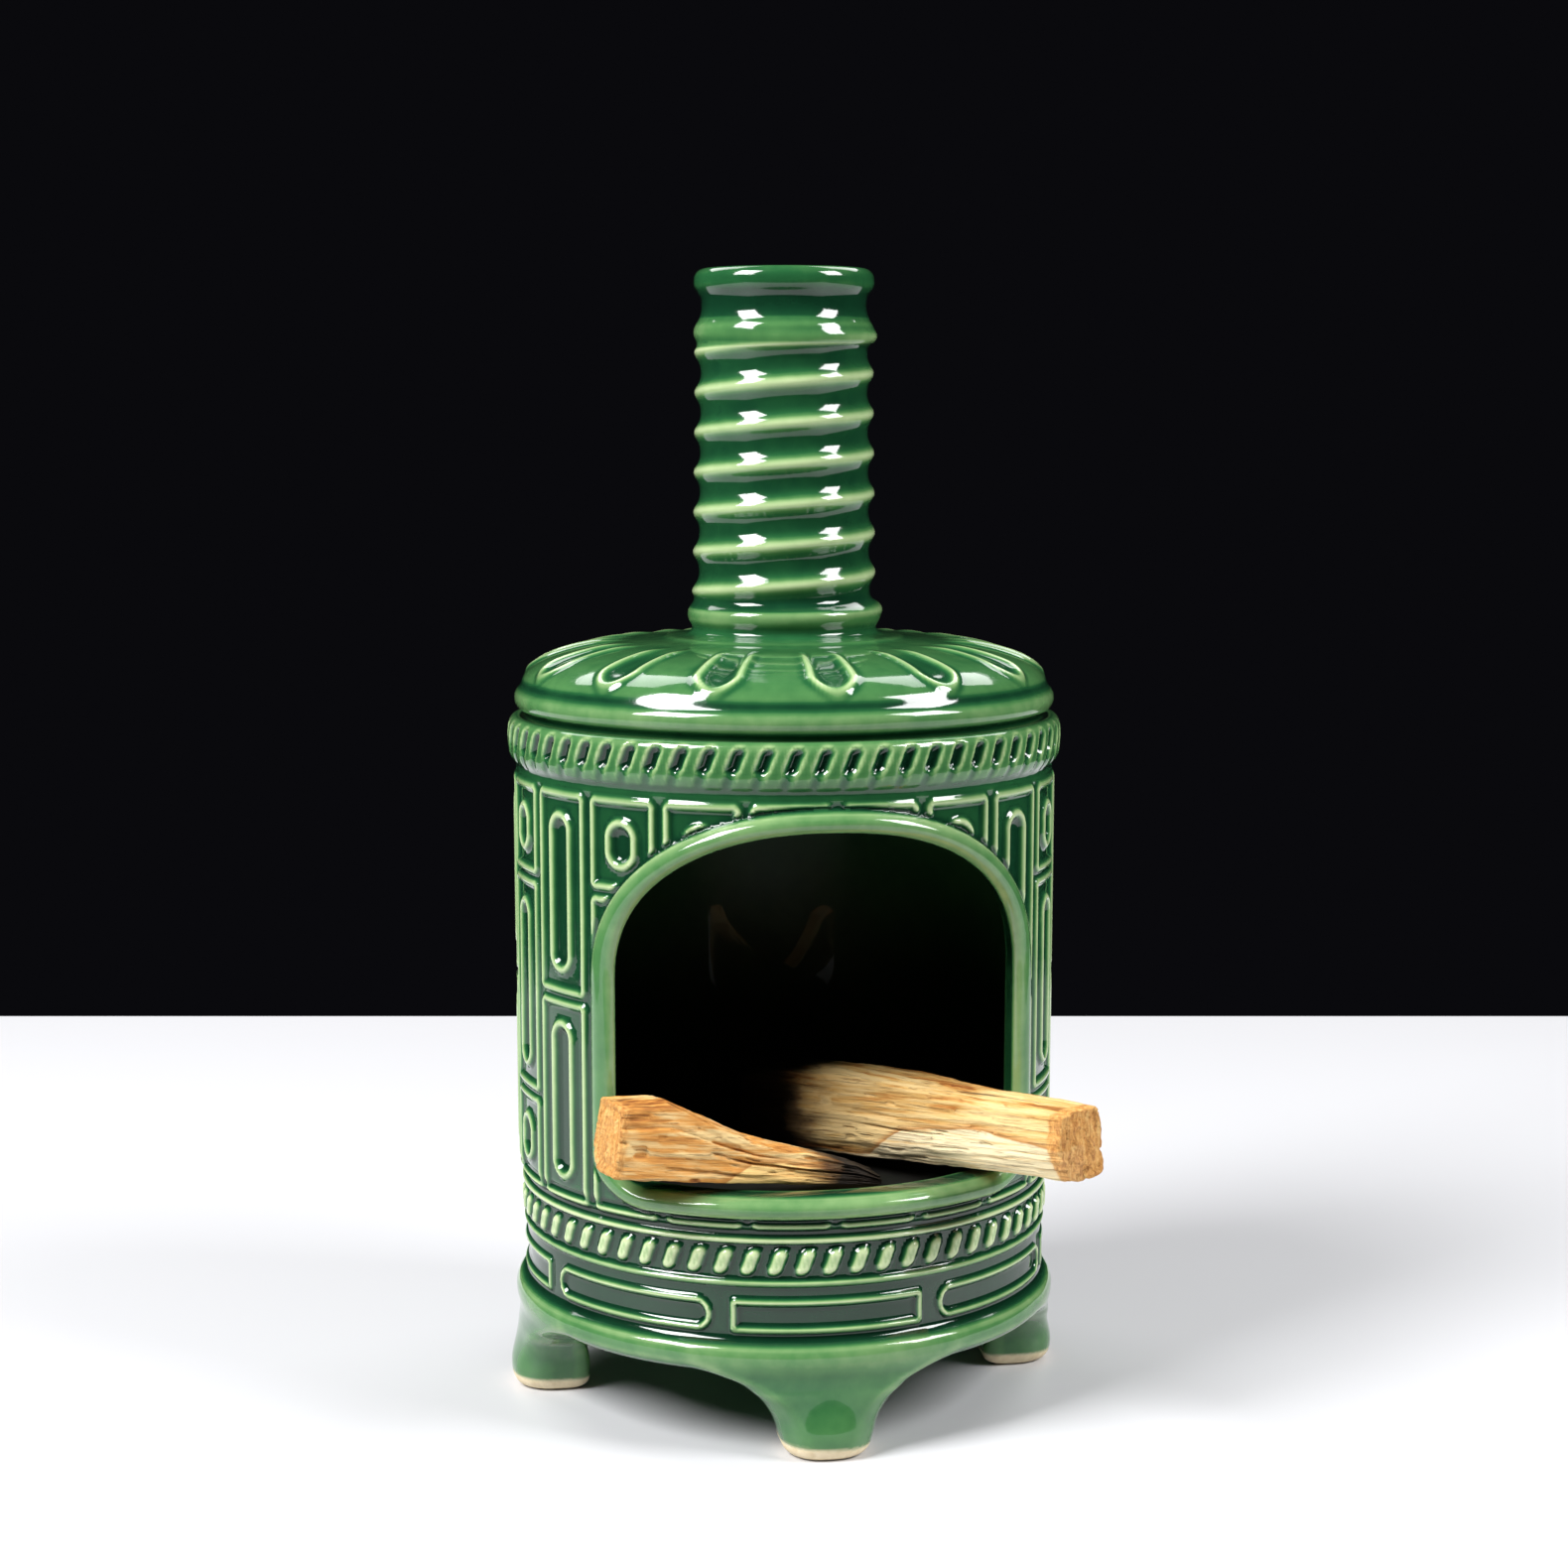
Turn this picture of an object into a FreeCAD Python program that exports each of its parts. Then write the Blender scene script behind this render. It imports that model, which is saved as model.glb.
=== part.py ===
import FreeCAD, Part

import math
import os

import Sketcher
from FreeCAD import Placement, Rotation, Vector

# A small glazed stoneware chiminea burner, in millimetres. +Z is up, the mouth faces -Y, and the
# origin is on the flue's axis at the level of the four soles.

DIMENSIONS = {
    # the round firebox
    "wall_radius": 41.5,
    "wall_thickness": 4.5,
    "skirt_bottom": 12.7,
    "skirt_radius": 42.1,
    "skirt_top": 17.9,
    "skirt_inset": 2.0,
    "skirt_curve": 3.1,
    "band_radius": 40.5,
    "ridge_proud": 0.5,
    "ridge_half_width": 0.7,
    "ridge_one": 19.1,
    "ridge_two": 23.4,
    "ridge_three": 26.1,
    "ridge_four": 32.5,
    "wall_step": 1.6,
    "plinth_radius": 36.5,
    "hearth_top": 35.9,
    "hearth_thickness": 4.0,
    "hollow_corner": 3.0,
    "cove_height": 96.5,
    "cove_depth": 0.4,
    "cove_run": 2.5,
    "collar_bottom": 98.0,
    "collar_curve": 5.2,
    "collar_inset": 0.1,
    "collar_top": 104.8,
    "seat_height": 104.0,
    "seat_radius": 40.5,
    # the arched mouth and its raised frame
    "mouth_half_width": 29.5,
    "mouth_bottom": 39.4,
    "mouth_spring": 69.0,
    "mouth_top": 91.6,
    "mouth_corner": 4.0,
    "haunch_reach": 0.62,
    "haunch_rise": 0.80,
    "frame_width": 3.0,
    "frame_radius": 43.1,
    # the four feet
    "foot_circle": 37.4,
    "foot_root": 14.5,
    "foot_root_half_width": 16.5,
    "foot_root_half_depth": 3.6,
    "foot_calf": 8.6,
    "foot_calf_half_width": 8.6,
    "foot_ankle": 3.2,
    "foot_ankle_half_width": 6.0,
    "foot_half_depth": 5.1,
    "sole_half_width": 5.2,
    "sole_half_depth": 4.4,
    # the lid: spigot, dome and flue
    "spigot_gap": 0.4,
    "spigot_depth": 4.5,
    "spigot_thickness": 3.6,
    "lip_radius": 41.5,
    "lip_height": 107.3,
    "lip_half_height": 1.7,
    "lip_inset": 1.0,
    "lip_curve": 1.95,
    "seat_inset": 1.2,
    "shoulder_radius": 39.9,
    "shoulder_height": 110.0,
    "shoulder_run": 7.0,
    "shoulder_drop": 1.6,
    "shoulder_curve": 9.0,
    "dome_radius": 17.5,
    "dome_top": 116.5,
    "dome_curve": 70.0,
    "dome_thickness": 4.2,
    "ceiling_inset": 5.0,
    "ceiling_fall": 1.4,
    "ceiling_edge": 4.0,
    "ceiling_curve": 6.0,
    "bore_flare": 3.0,
    "neck_radius": 14.2,
    "neck_height": 117.6,
    "neck_curve": 5.0,
    "bead_height": 120.0,
    "bead_half_height": 2.2,
    "bead_foot": 0.6,
    "bead_curve": 2.45,
    "flue_radius": 13.0,
    "flue_taper": 0.2,
    "flue_bore": 9.8,
    "rib_pitch": 6.03,
    "rib_radius": 1.5,
    "rib_crest": 13.8,
    "rib_start": 0.4,
    "ring_height": 162.6,
    "ring_half_height": 1.8,
    "ring_curve": 2.1,
    "throat_radius": 12.5,
    "throat_curve": 4.0,
    "throat_step": 0.1,
    "rim_height": 170.1,
    "rim_half_height": 2.1,
    "rim_curve": 2.25,
    "rim_edge": 0.8,
    # the two sticks of wood
    "right_stick_length": 64.0,
    "right_stick_width": 10.0,
    "right_stick_end": 10.2,
    "right_stick_thick": 14.0,
    "right_stick_turn": 35.6,
    "right_stick_rise": 5.5,
    "right_stick_reach": 60.4,
    "right_stick_offset": -0.4,
    "right_stick_level": 42.4,
    "left_stick_length": 42.0,
    "left_stick_width": 10.0,
    "left_stick_end": 11.4,
    "left_stick_waist": 5.8,
    "left_stick_waist_at": 21.0,
    "left_stick_tip": 2.2,
    "left_stick_turn": -75.1,
    "left_stick_rise": 7.6,
    "left_stick_reach": 40.8,
    "left_stick_offset": 28.5,
    "left_stick_level": 43.0,
    "split_edge": 3.2,
    "right_stick_crown": 0.30,
    "right_stick_shoulder": 0.80,
    "right_split_share": 0.7,
    "bevel_low": 0.55,
    "bevel_in": 0.45,
    "left_stick_crown": 5.0,
    "left_stick_butt": 0.93,
    "left_taper_length": 0.55,
    "left_taper_width": 0.1,
}

# how far a cut runs out past the clay, and past the wood
CLEAR = 5.0
PAST = 1.0

document = FreeCAD.newDocument("Stove")
sheet = document.addObject("Spreadsheet::Sheet", "Sizes")


class Size(float):
    """A length with the expression that gives it from the sheet."""

    def __new__(cls, value, text):
        size = super().__new__(cls, value)
        size.text = text
        return size

    def __add__(self, other):
        return Size(float(self) + float(other), f"({self.text} + {text_of(other)})")

    def __sub__(self, other):
        return Size(float(self) - float(other), f"({self.text} - {text_of(other)})")

    def __mul__(self, other):
        return Size(float(self) * float(other), f"({self.text} * {text_of(other)})")


ZERO = Size(0, "0")
BELOW = Size(-PAST, f"-{PAST}")


def text_of(value):
    return value.text if isinstance(value, Size) else repr(float(value))


def fill_sheet():
    """One row per driving dimension: its name, its value and an alias."""
    for row, (name, value) in enumerate(DIMENSIONS.items(), start=1):
        sheet.set(f"A{row}", name)
        sheet.set(f"B{row}", str(value))
        sheet.setAlias(f"B{row}", name)
    document.recompute()


def size(name):
    return Size(getattr(sheet, name), f"Sizes.{name}")


def origin_feature(body, role):
    return next(item for item in body.Origin.OriginFeatures if item.Role == role)


def new_sketch(body, name, plane, height=None):
    """A sketch on one of the body's own origin planes, raised by height where it is given."""
    sketch = body.newObject("Sketcher::SketchObject", name)
    sketch.AttachmentSupport = [(origin_feature(body, plane), "")]
    sketch.MapMode = "FlatFace"
    if height is not None:
        sketch.AttachmentOffset = Placement(Vector(0, 0, float(height)), Rotation())
        sketch.setExpression(".AttachmentOffset.Base.z", text_of(height))
    return sketch


def drive(sketch, constraint, expression):
    """Add a constraint and bind its value to the sheet."""
    index = sketch.addConstraint(constraint)
    sketch.setExpression(f"Constraints[{index}]", expression)


def pin_point(sketch, geometry, end, point):
    """Hold one end of a piece of geometry at its two distances from the sketch's origin."""
    for kind, value in zip(("DistanceX", "DistanceY"), point):
        if float(value) >= 0:
            constraint = Sketcher.Constraint(kind, -1, 1, geometry, end, float(value))
            drive(sketch, constraint, text_of(value))
        else:
            constraint = Sketcher.Constraint(kind, geometry, end, -1, 1, -float(value))
            drive(sketch, constraint, f"-1 * {text_of(value)}")


def arc_centre(start, end, radius, left):
    """The centre of the short arc from start to end, which bulges to its left or right."""
    chord = end - start
    middle = (start + end) * 0.5
    across = Vector(-chord.y, chord.x, 0).normalize()
    depth = math.sqrt(radius ** 2 - (chord.Length / 2) ** 2)
    return middle - across * depth if left else middle + across * depth


def draw_outline(sketch, steps):
    """Close an outline of lines and arcs. Each step is a point, or a point, a radius and a side."""
    points = [step[:2] for step in steps]
    for index, step in enumerate(steps):
        start = Vector(*points[index - 1], 0)
        end = Vector(*points[index], 0)
        if len(step) == 2:
            geometry = sketch.addGeometry(Part.LineSegment(start, end), False)
        else:
            radius, side = step[2:]
            left = side == "left"
            centre = arc_centre(start, end, float(radius), left)
            outward = ((start + end) * 0.5 - centre).normalize()
            top = centre + outward * float(radius)
            geometry = sketch.addGeometry(Part.Arc(start, top, end), False)
            drive(sketch, Sketcher.Constraint("Radius", geometry, float(radius)), text_of(radius))
        # an arc's two ends are numbered counter-clockwise, whichever way the outline runs
        gaps = {number: sketch.getPoint(geometry, number).distanceToPoint(end) for number in (1, 2)}
        step_end = min(gaps, key=gaps.get)
        step_start = 3 - step_end
        pin_point(sketch, geometry, step_end, points[index])
        if index:
            sketch.addConstraint(Sketcher.Constraint("Coincident", *last, geometry, step_start))
        else:
            first = (geometry, step_start)
        last = (geometry, step_end)
    sketch.addConstraint(Sketcher.Constraint("Coincident", *last, *first))


def draw_ellipse(sketch, centre, half_width, half_depth):
    """An ellipse across the X axis with its centre on the Y axis, at centre."""
    middle = Vector(0, float(centre), 0)
    side = middle + Vector(float(half_width), 0, 0)
    front = middle + Vector(0, float(half_depth), 0)
    index = sketch.addGeometry(Part.Ellipse(side, front, middle), False)
    sketch.exposeInternalGeometry(index)
    major, minor = index + 1, index + 2
    sketch.addConstraint(Sketcher.Constraint("PointOnObject", index, 3, -2))
    sketch.addConstraint(Sketcher.Constraint("Horizontal", major))
    place = Sketcher.Constraint("DistanceY", index, 3, -1, 1, -float(centre))
    drive(sketch, place, f"-1 * {text_of(centre)}")
    for line, half in ((major, half_width), (minor, half_depth)):
        drive(sketch, Sketcher.Constraint("Distance", line, 2 * float(half)), text_of(half * 2))


def turn(body, kind, name, sketch):
    """Revolve or groove a sketch a full turn about the vertical axis."""
    feature = body.newObject(kind, name)
    feature.Profile = sketch
    feature.ReferenceAxis = (origin_feature(body, "Z_Axis"), [""])
    feature.Angle = 360
    return feature


def ridge_steps(base, level, proud, half_width):
    """A half-round ridge on an outline that climbs at the radius base."""
    radius = (half_width * half_width + proud * proud) * (0.5 / float(proud))
    return [(base, level - half_width), (base, level + half_width, radius, "right")]


def arch_outline(sketch, half_width, bottom, spring, top, corner):
    """A mouth: flat sill, small round corners, straight jambs and a flattened arch."""
    width = half_width
    # the arch is two haunches and a crown, each an arc
    shoulder_x = width * size("haunch_reach")
    shoulder_y = spring + (top - spring) * size("haunch_rise")
    sagitta = top - shoulder_y
    crown = (shoulder_x * shoulder_x + sagitta * sagitta) * (0.5 / float(sagitta))
    haunch = haunch_radius(float(width), float(spring), float(shoulder_x), float(shoulder_y))
    steps = [
        (width - corner, bottom),
        (width, bottom + corner, corner, "right"),
        (width, spring),
        (shoulder_x, shoulder_y, haunch, "right"),
        (shoulder_x * -1, shoulder_y, crown, "right"),
        (width * -1, spring, haunch, "right"),
        (width * -1, bottom + corner),
        ((width - corner) * -1, bottom, corner, "right"),
    ]
    draw_outline(sketch, steps)


def haunch_radius(width, spring, shoulder_x, shoulder_y):
    """The radius of the arc that leaves the jamb upright and reaches the shoulder."""
    across = width - shoulder_x
    up = shoulder_y - spring
    return (across ** 2 + up ** 2) / (2 * across)


def make_fire_chamber():
    """The firebox casting: walls, collar, lid seat, mouth, hearth, plinth and feet in one piece."""
    body = document.addObject("PartDesign::Body", "FireChamber")
    body.Label = "fire_chamber"
    wall = size("wall_radius")
    band = size("band_radius")
    proud = size("ridge_proud")
    half = size("ridge_half_width")

    profile = new_sketch(body, "OutsideProfile", "XZ_Plane")
    ridges = []
    for name in ("ridge_one", "ridge_two", "ridge_three", "ridge_four"):
        ridges += ridge_steps(band, size(name), proud, half)
    outside = [
        (ZERO, size("skirt_bottom")),
        (size("skirt_radius") - size("skirt_inset"), size("skirt_bottom")),
        (band, size("skirt_top"), size("skirt_curve"), "right"),
        *ridges,
        (wall, size("ridge_four") + size("wall_step")),
        (wall, size("cove_height") - size("cove_run")),
        (wall - size("cove_depth"), size("cove_height")),
        (wall, size("collar_bottom")),
        (wall - size("collar_inset"), size("collar_top"), size("collar_curve"), "right"),
        (size("seat_radius"), size("seat_height")),
        (ZERO, size("seat_height")),
    ]
    draw_outline(profile, outside)
    turn(body, "PartDesign::Revolution", "Outside", profile)

    frame_sketch = new_sketch(body, "MouthFrameOutline", "XZ_Plane")
    frame_width = size("frame_width")
    arch_outline(
        frame_sketch,
        size("mouth_half_width") + frame_width,
        size("mouth_bottom") - frame_width,
        size("mouth_spring"),
        size("mouth_top") + frame_width,
        size("mouth_corner") + frame_width,
    )
    frame = body.newObject("PartDesign::Pad", "MouthFrame")
    frame.Profile = frame_sketch
    frame.setExpression("Length", f"Sizes.frame_radius + {CLEAR}")

    trim_sketch = new_sketch(body, "MouthFrameTrim", "XZ_Plane")
    face = size("frame_radius")
    reach = face * 2
    low = size("mouth_bottom") - frame_width * 2
    high = size("mouth_top") + frame_width * 2
    draw_outline(trim_sketch, [(face, low), (reach, low), (reach, high), (face, high)])
    turn(body, "PartDesign::Groove", "TrimMouthFrame", trim_sketch)

    hollow_sketch = new_sketch(body, "FireboxHollow", "XZ_Plane")
    inside = wall - size("wall_thickness")
    hearth = size("hearth_top")
    corner = size("hollow_corner")
    hollow = [
        (ZERO, hearth),
        (inside - corner, hearth),
        (inside, hearth + corner, corner, "right"),
        (inside, size("collar_top") + CLEAR),
        (ZERO, size("collar_top") + CLEAR),
    ]
    draw_outline(hollow_sketch, hollow)
    turn(body, "PartDesign::Groove", "Firebox", hollow_sketch)

    plinth_sketch = new_sketch(body, "PlinthHollow", "XZ_Plane")
    ceiling = hearth - size("hearth_thickness")
    plinth = size("plinth_radius")
    under = [
        (ZERO, size("skirt_bottom") - CLEAR),
        (plinth, size("skirt_bottom") - CLEAR),
        (plinth, ceiling - corner),
        (plinth - corner, ceiling, corner, "right"),
        (ZERO, ceiling),
    ]
    draw_outline(plinth_sketch, under)
    turn(body, "PartDesign::Groove", "Plinth", plinth_sketch)

    mouth_sketch = new_sketch(body, "MouthOutline", "XZ_Plane")
    arch_outline(
        mouth_sketch,
        size("mouth_half_width"),
        size("mouth_bottom"),
        size("mouth_spring"),
        size("mouth_top"),
        size("mouth_corner"),
    )
    mouth = body.newObject("PartDesign::Pocket", "Mouth")
    mouth.Profile = mouth_sketch
    mouth.Type = "Length"
    mouth.Reversed = True
    mouth.setExpression("Length", f"Sizes.frame_radius + {CLEAR}")

    sections = [
        ("foot_root", "foot_root_half_width", "foot_root_half_depth"),
        ("foot_calf", "foot_calf_half_width", "foot_half_depth"),
        ("foot_ankle", "foot_ankle_half_width", "foot_half_depth"),
        (None, "sole_half_width", "sole_half_depth"),
    ]
    centre = size("foot_circle") * -1
    sketches = []
    for index, (level, half_width, half_depth) in enumerate(sections):
        height = size(level) if level else None
        section = new_sketch(body, f"FootSection{index}", "XY_Plane", height)
        draw_ellipse(section, centre, size(half_width), size(half_depth))
        sketches.append(section)
    foot = body.newObject("PartDesign::AdditiveLoft", "Foot")
    foot.Profile = sketches[0]
    foot.Sections = sketches[1:]
    feet = body.newObject("PartDesign::PolarPattern", "Feet")
    feet.Originals = [foot]
    feet.Axis = (origin_feature(body, "Z_Axis"), [""])
    feet.Angle = 360
    feet.Occurrences = 4
    body.Tip = feet
    return body


def make_chimney_lid():
    """The lid casting: locating spigot, shallow dome and ribbed flue in one piece."""
    body = document.addObject("PartDesign::Body", "ChimneyLid")
    body.Label = "chimney_lid"
    seat = size("seat_height")
    spigot = size("wall_radius") - size("wall_thickness") - size("spigot_gap")
    spigot_bottom = seat - size("spigot_depth")
    spigot_inside = spigot - size("spigot_thickness")
    flue = size("flue_radius")
    bore = size("flue_bore")
    flare = size("bore_flare")
    dome_top = size("dome_top")
    shoulder_inner = size("shoulder_radius") - size("shoulder_run")
    ceiling = dome_top - size("dome_thickness")
    ceiling_rim = ceiling - size("ceiling_fall")
    rim_edge = size("rim_edge")
    rim_top = size("rim_height") + size("rim_half_height")

    profile = new_sketch(body, "LidProfile", "XZ_Plane")
    lip = size("lip_height")
    lip_half = size("lip_half_height")
    lip_edge = size("lip_radius") - size("lip_inset")
    bead = size("bead_height")
    bead_half = size("bead_half_height")
    ring = size("ring_height")
    ring_half = size("ring_half_height")
    rim = size("rim_height")
    rim_half = size("rim_half_height")
    throat = size("throat_radius")
    steps = [
        (spigot, seat),
        (size("seat_radius") - size("seat_inset"), seat),
        (lip_edge, lip - lip_half),
        (lip_edge, lip + lip_half, size("lip_curve"), "right"),
        (size("shoulder_radius"), size("shoulder_height")),
        (shoulder_inner, dome_top - size("shoulder_drop"), size("shoulder_curve"), "right"),
        (size("dome_radius"), dome_top, size("dome_curve"), "right"),
        (size("neck_radius"), size("neck_height"), size("neck_curve"), "left"),
        (flue + size("bead_foot"), bead + bead_half, size("bead_curve"), "right"),
        (flue - size("flue_taper"), ring - ring_half),
        (throat + size("throat_step"), ring + ring_half, size("ring_curve"), "right"),
        (throat, rim - rim_half, size("throat_curve"), "left"),
        (throat, rim_top, size("rim_curve"), "right"),
        (bore + rim_edge, rim_top),
        (bore, rim_top - rim_edge, rim_edge, "right"),
        (bore, ceiling + flare),
        (bore + flare, ceiling, flare, "left"),
        (spigot_inside - size("ceiling_inset"), ceiling_rim),
        (spigot_inside, ceiling_rim - size("ceiling_edge"), size("ceiling_curve"), "left"),
        (spigot_inside, spigot_bottom),
        (spigot, spigot_bottom),
    ]
    draw_outline(profile, steps)
    turn(body, "PartDesign::Revolution", "Shell", profile)

    rib_sketch = new_sketch(body, "RibSection", "XZ_Plane")
    rib_radius = size("rib_radius")
    start = bead + size("rib_start")
    rib_middle = size("rib_crest") - rib_radius
    centre = Vector(float(rib_middle), float(start), 0)
    index = rib_sketch.addGeometry(Part.Circle(centre, Vector(0, 0, 1), float(rib_radius)), False)
    drive(rib_sketch, Sketcher.Constraint("Radius", index, float(rib_radius)), text_of(rib_radius))
    pin_point(rib_sketch, index, 3, (rib_middle, start))
    rib = body.newObject("PartDesign::AdditiveHelix", "Ribs")
    rib.Profile = rib_sketch
    rib.ReferenceAxis = (origin_feature(body, "Z_Axis"), [""])
    rib.Mode = "pitch-height-angle"
    rib.setExpression("Pitch", "Sizes.rib_pitch")
    rib.setExpression("Height", text_of(ring - start))
    body.Tip = rib
    return body


def place_stick(body, name):
    """Put a stick drawn along +X from the origin in its place, with its thick end out of the mouth."""
    turn_angle = getattr(sheet, f"{name}_turn")
    turn_radians = math.radians(turn_angle)
    outward = Vector(math.sin(turn_radians), -math.cos(turn_radians), 0)
    aside = Vector(math.cos(turn_radians), math.sin(turn_radians), 0)
    end = outward * getattr(sheet, f"{name}_reach") + aside * getattr(sheet, f"{name}_offset")
    end.z = getattr(sheet, f"{name}_level")
    heading = Rotation(Vector(0, 0, 1), turn_angle - 90)
    tilt = Rotation(Vector(0, 1, 0), -getattr(sheet, f"{name}_rise"))
    rotation = heading * tilt
    length = getattr(sheet, f"{name}_length")
    body.Placement = Placement(end - rotation.multVec(Vector(length, 0, 0)), rotation)


def make_stick(name, label, outline):
    """A stick padded across its width from a side outline. Its inner end is at the origin."""
    body = document.addObject("PartDesign::Body", label.title().replace("_", ""))
    body.Label = label
    side = new_sketch(body, "Side", "XZ_Plane")
    draw_outline(side, outline)
    pad = body.newObject("PartDesign::Pad", "Wood")
    pad.Profile = side
    pad.Midplane = True
    pad.setExpression("Length", f"Sizes.{name}_width")
    document.recompute()
    return body


def cut_along(body, name, plane, outline, length, reverse):
    """Split a piece off the stick, and make sure that the cut took something away."""
    before = body.Shape.Volume
    sketch = new_sketch(body, f"{name}Outline", plane)
    draw_outline(sketch, outline)
    cut = body.newObject("PartDesign::Pocket", name)
    cut.Profile = sketch
    cut.Reversed = reverse
    cut.setExpression("Length", length)
    document.recompute()
    if body.Shape.Volume >= before:
        raise RuntimeError(f"{name} cut nothing")


def make_right_stick():
    """The longer stick, thickest near its inner end, which leans over the sill on the right."""
    length = size("right_stick_length")
    thick = size("right_stick_thick")
    half = size("right_stick_width") * 0.5
    outline = [
        (ZERO, ZERO),
        (length, ZERO),
        (length, size("right_stick_end")),
        (length * size("right_stick_crown"), thick),
        (ZERO, thick * size("right_stick_shoulder")),
    ]
    body = make_stick("right_stick", "right_stick", outline)
    edge = size("split_edge") * size("right_split_share")
    far = half + PAST
    corner = [(half - edge, BELOW), (far, BELOW), (far, edge + PAST)]
    through = f"Sizes.right_stick_length + {PAST}"
    cut_along(body, "LowerEdge", "YZ_Plane", corner, through, True)
    near = far * -1
    above = thick + PAST
    ridge = [(near, above), (near, thick * size("bevel_low")), (half * size("bevel_in") * -1, above)]
    cut_along(body, "UpperEdge", "YZ_Plane", ridge, through, True)
    place_stick(body, "right_stick")
    return body


def make_left_stick():
    """The short wedge, thick outside the mouth and thin and narrow at its charred inner end."""
    length = size("left_stick_length")
    high = size("left_stick_end")
    half = size("left_stick_width") * 0.5
    outline = [
        (ZERO, ZERO),
        (length, ZERO),
        (length, high * size("left_stick_butt")),
        (length - size("left_stick_crown"), high),
        (size("left_stick_waist_at"), size("left_stick_waist")),
        (ZERO, size("left_stick_tip")),
    ]
    body = make_stick("left_stick", "left_stick", outline)
    edge = size("split_edge")
    far = (half + PAST) * -1
    corner = [(edge - half, BELOW), (far, edge + PAST), (far, BELOW)]
    cut_along(body, "LowerEdge", "YZ_Plane", corner, f"Sizes.left_stick_length + {PAST}", True)
    taper_end = length * size("left_taper_length")
    taper = [(BELOW, far), (taper_end, far), (BELOW, half * size("left_taper_width"))]
    cut_along(body, "NarrowTip", "XY_Plane", taper, f"Sizes.left_stick_end + {PAST}", True)
    place_stick(body, "left_stick")
    return body


def check_document():
    """Stop if a feature failed without raising."""
    document.recompute()
    for item in document.Objects:
        bad = {"Invalid", "Error"} & set(item.State)
        if bad:
            raise RuntimeError(f"{item.Name} is {sorted(bad)}")


def export(bodies):
    """Write each sub-part to its own file."""
    os.makedirs("parts", exist_ok=True)
    for body in bodies:
        shape = body.Shape
        if shape.isNull() or not shape.isValid() or len(shape.Solids) != 1:
            raise RuntimeError(f"{body.Label} is not one valid solid")
        shape.exportStep(f"parts/{body.Label}.step")
        box = shape.BoundBox
        print(f"{body.Label}: {shape.Volume:.0f} mm3, x {box.XMin:.1f} {box.XMax:.1f},"
              f" y {box.YMin:.1f} {box.YMax:.1f}, z {box.ZMin:.1f} {box.ZMax:.1f}")


fill_sheet()
sub_parts = [make_fire_chamber(), make_chimney_lid(), make_right_stick(), make_left_stick()]
check_document()
export(sub_parts)
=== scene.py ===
import math

import bpy
import numpy as np
from mathutils import Matrix, Vector


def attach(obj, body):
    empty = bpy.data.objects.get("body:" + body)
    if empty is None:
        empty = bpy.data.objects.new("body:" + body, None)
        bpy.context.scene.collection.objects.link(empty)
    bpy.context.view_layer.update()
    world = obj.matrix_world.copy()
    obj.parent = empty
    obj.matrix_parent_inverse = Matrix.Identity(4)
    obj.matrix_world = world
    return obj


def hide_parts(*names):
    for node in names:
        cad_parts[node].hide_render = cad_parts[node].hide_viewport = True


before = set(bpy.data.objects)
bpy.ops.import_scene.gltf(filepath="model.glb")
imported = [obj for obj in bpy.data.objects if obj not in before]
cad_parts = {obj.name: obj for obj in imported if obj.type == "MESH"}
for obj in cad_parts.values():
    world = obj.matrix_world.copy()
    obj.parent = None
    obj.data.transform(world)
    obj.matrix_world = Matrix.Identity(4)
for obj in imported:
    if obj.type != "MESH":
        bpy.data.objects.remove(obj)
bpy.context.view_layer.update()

MM = 0.001
PI = math.pi


# ---- small shaping functions

def smoothstep(low, high, x):
    t = np.clip((x - low) / (high - low), 0.0, 1.0)
    return t * t * (3.0 - 2.0 * t)


def bump(distance, half_width):
    """A smooth rounded ridge, 1 at its middle and 0 from half_width on."""
    t = np.clip(np.abs(distance) / half_width, 0.0, 1.0)
    return 0.5 + 0.5 * np.cos(PI * t)


def smooth_max(a, b, blend):
    """The larger of two fields, with the corner between them rounded over blend millimetres."""
    t = np.maximum(blend - np.abs(a - b), 0.0) / blend
    return np.maximum(a, b) + t * t * blend * 0.25


def smooth_min(a, b, blend):
    return -smooth_max(-a, -b, blend)


def repeat(angle, pitch, start=0.0):
    """The angle from the nearest of the marks that stand pitch apart, one of them at start."""
    return (angle - start + pitch / 2) % pitch - pitch / 2


class Curve:
    """A radius, width or bulge against height: straight runs between a few knots, softened."""

    def __init__(self, knots, softness=0.3):
        heights, values = zip(*knots)
        step = 0.05
        self.heights = np.arange(heights[0] - 3.0, heights[-1] + 3.0, step)
        table = np.interp(self.heights, heights, values)
        reach = int(3 * softness / step)
        weights = np.exp(-0.5 * (np.arange(-reach, reach + 1) * step / softness) ** 2)
        padded = np.pad(table, reach, mode="edge")
        self.values = np.convolve(padded, weights / weights.sum(), mode="valid")

    def __call__(self, height):
        return np.interp(height, self.heights, self.values)


# ---- the fire chamber's relief
# Angles are in degrees about the flue's axis, 0 at the middle of the mouth (-Y), growing
# towards +X. Lengths and heights are in millimetres. A Curve's knots are (height, value).

INSIDE_RADIUS = 37.0
PLINTH_RADIUS = 36.5
SKIRT_BOTTOM = 12.7
HEARTH_TOP = 35.9
HEARTH_UNDER = 31.9
SEAT_HEIGHT = 104.0
COLLAR_TOP = 104.8
SEAT_RADIUS = 40.5

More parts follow.
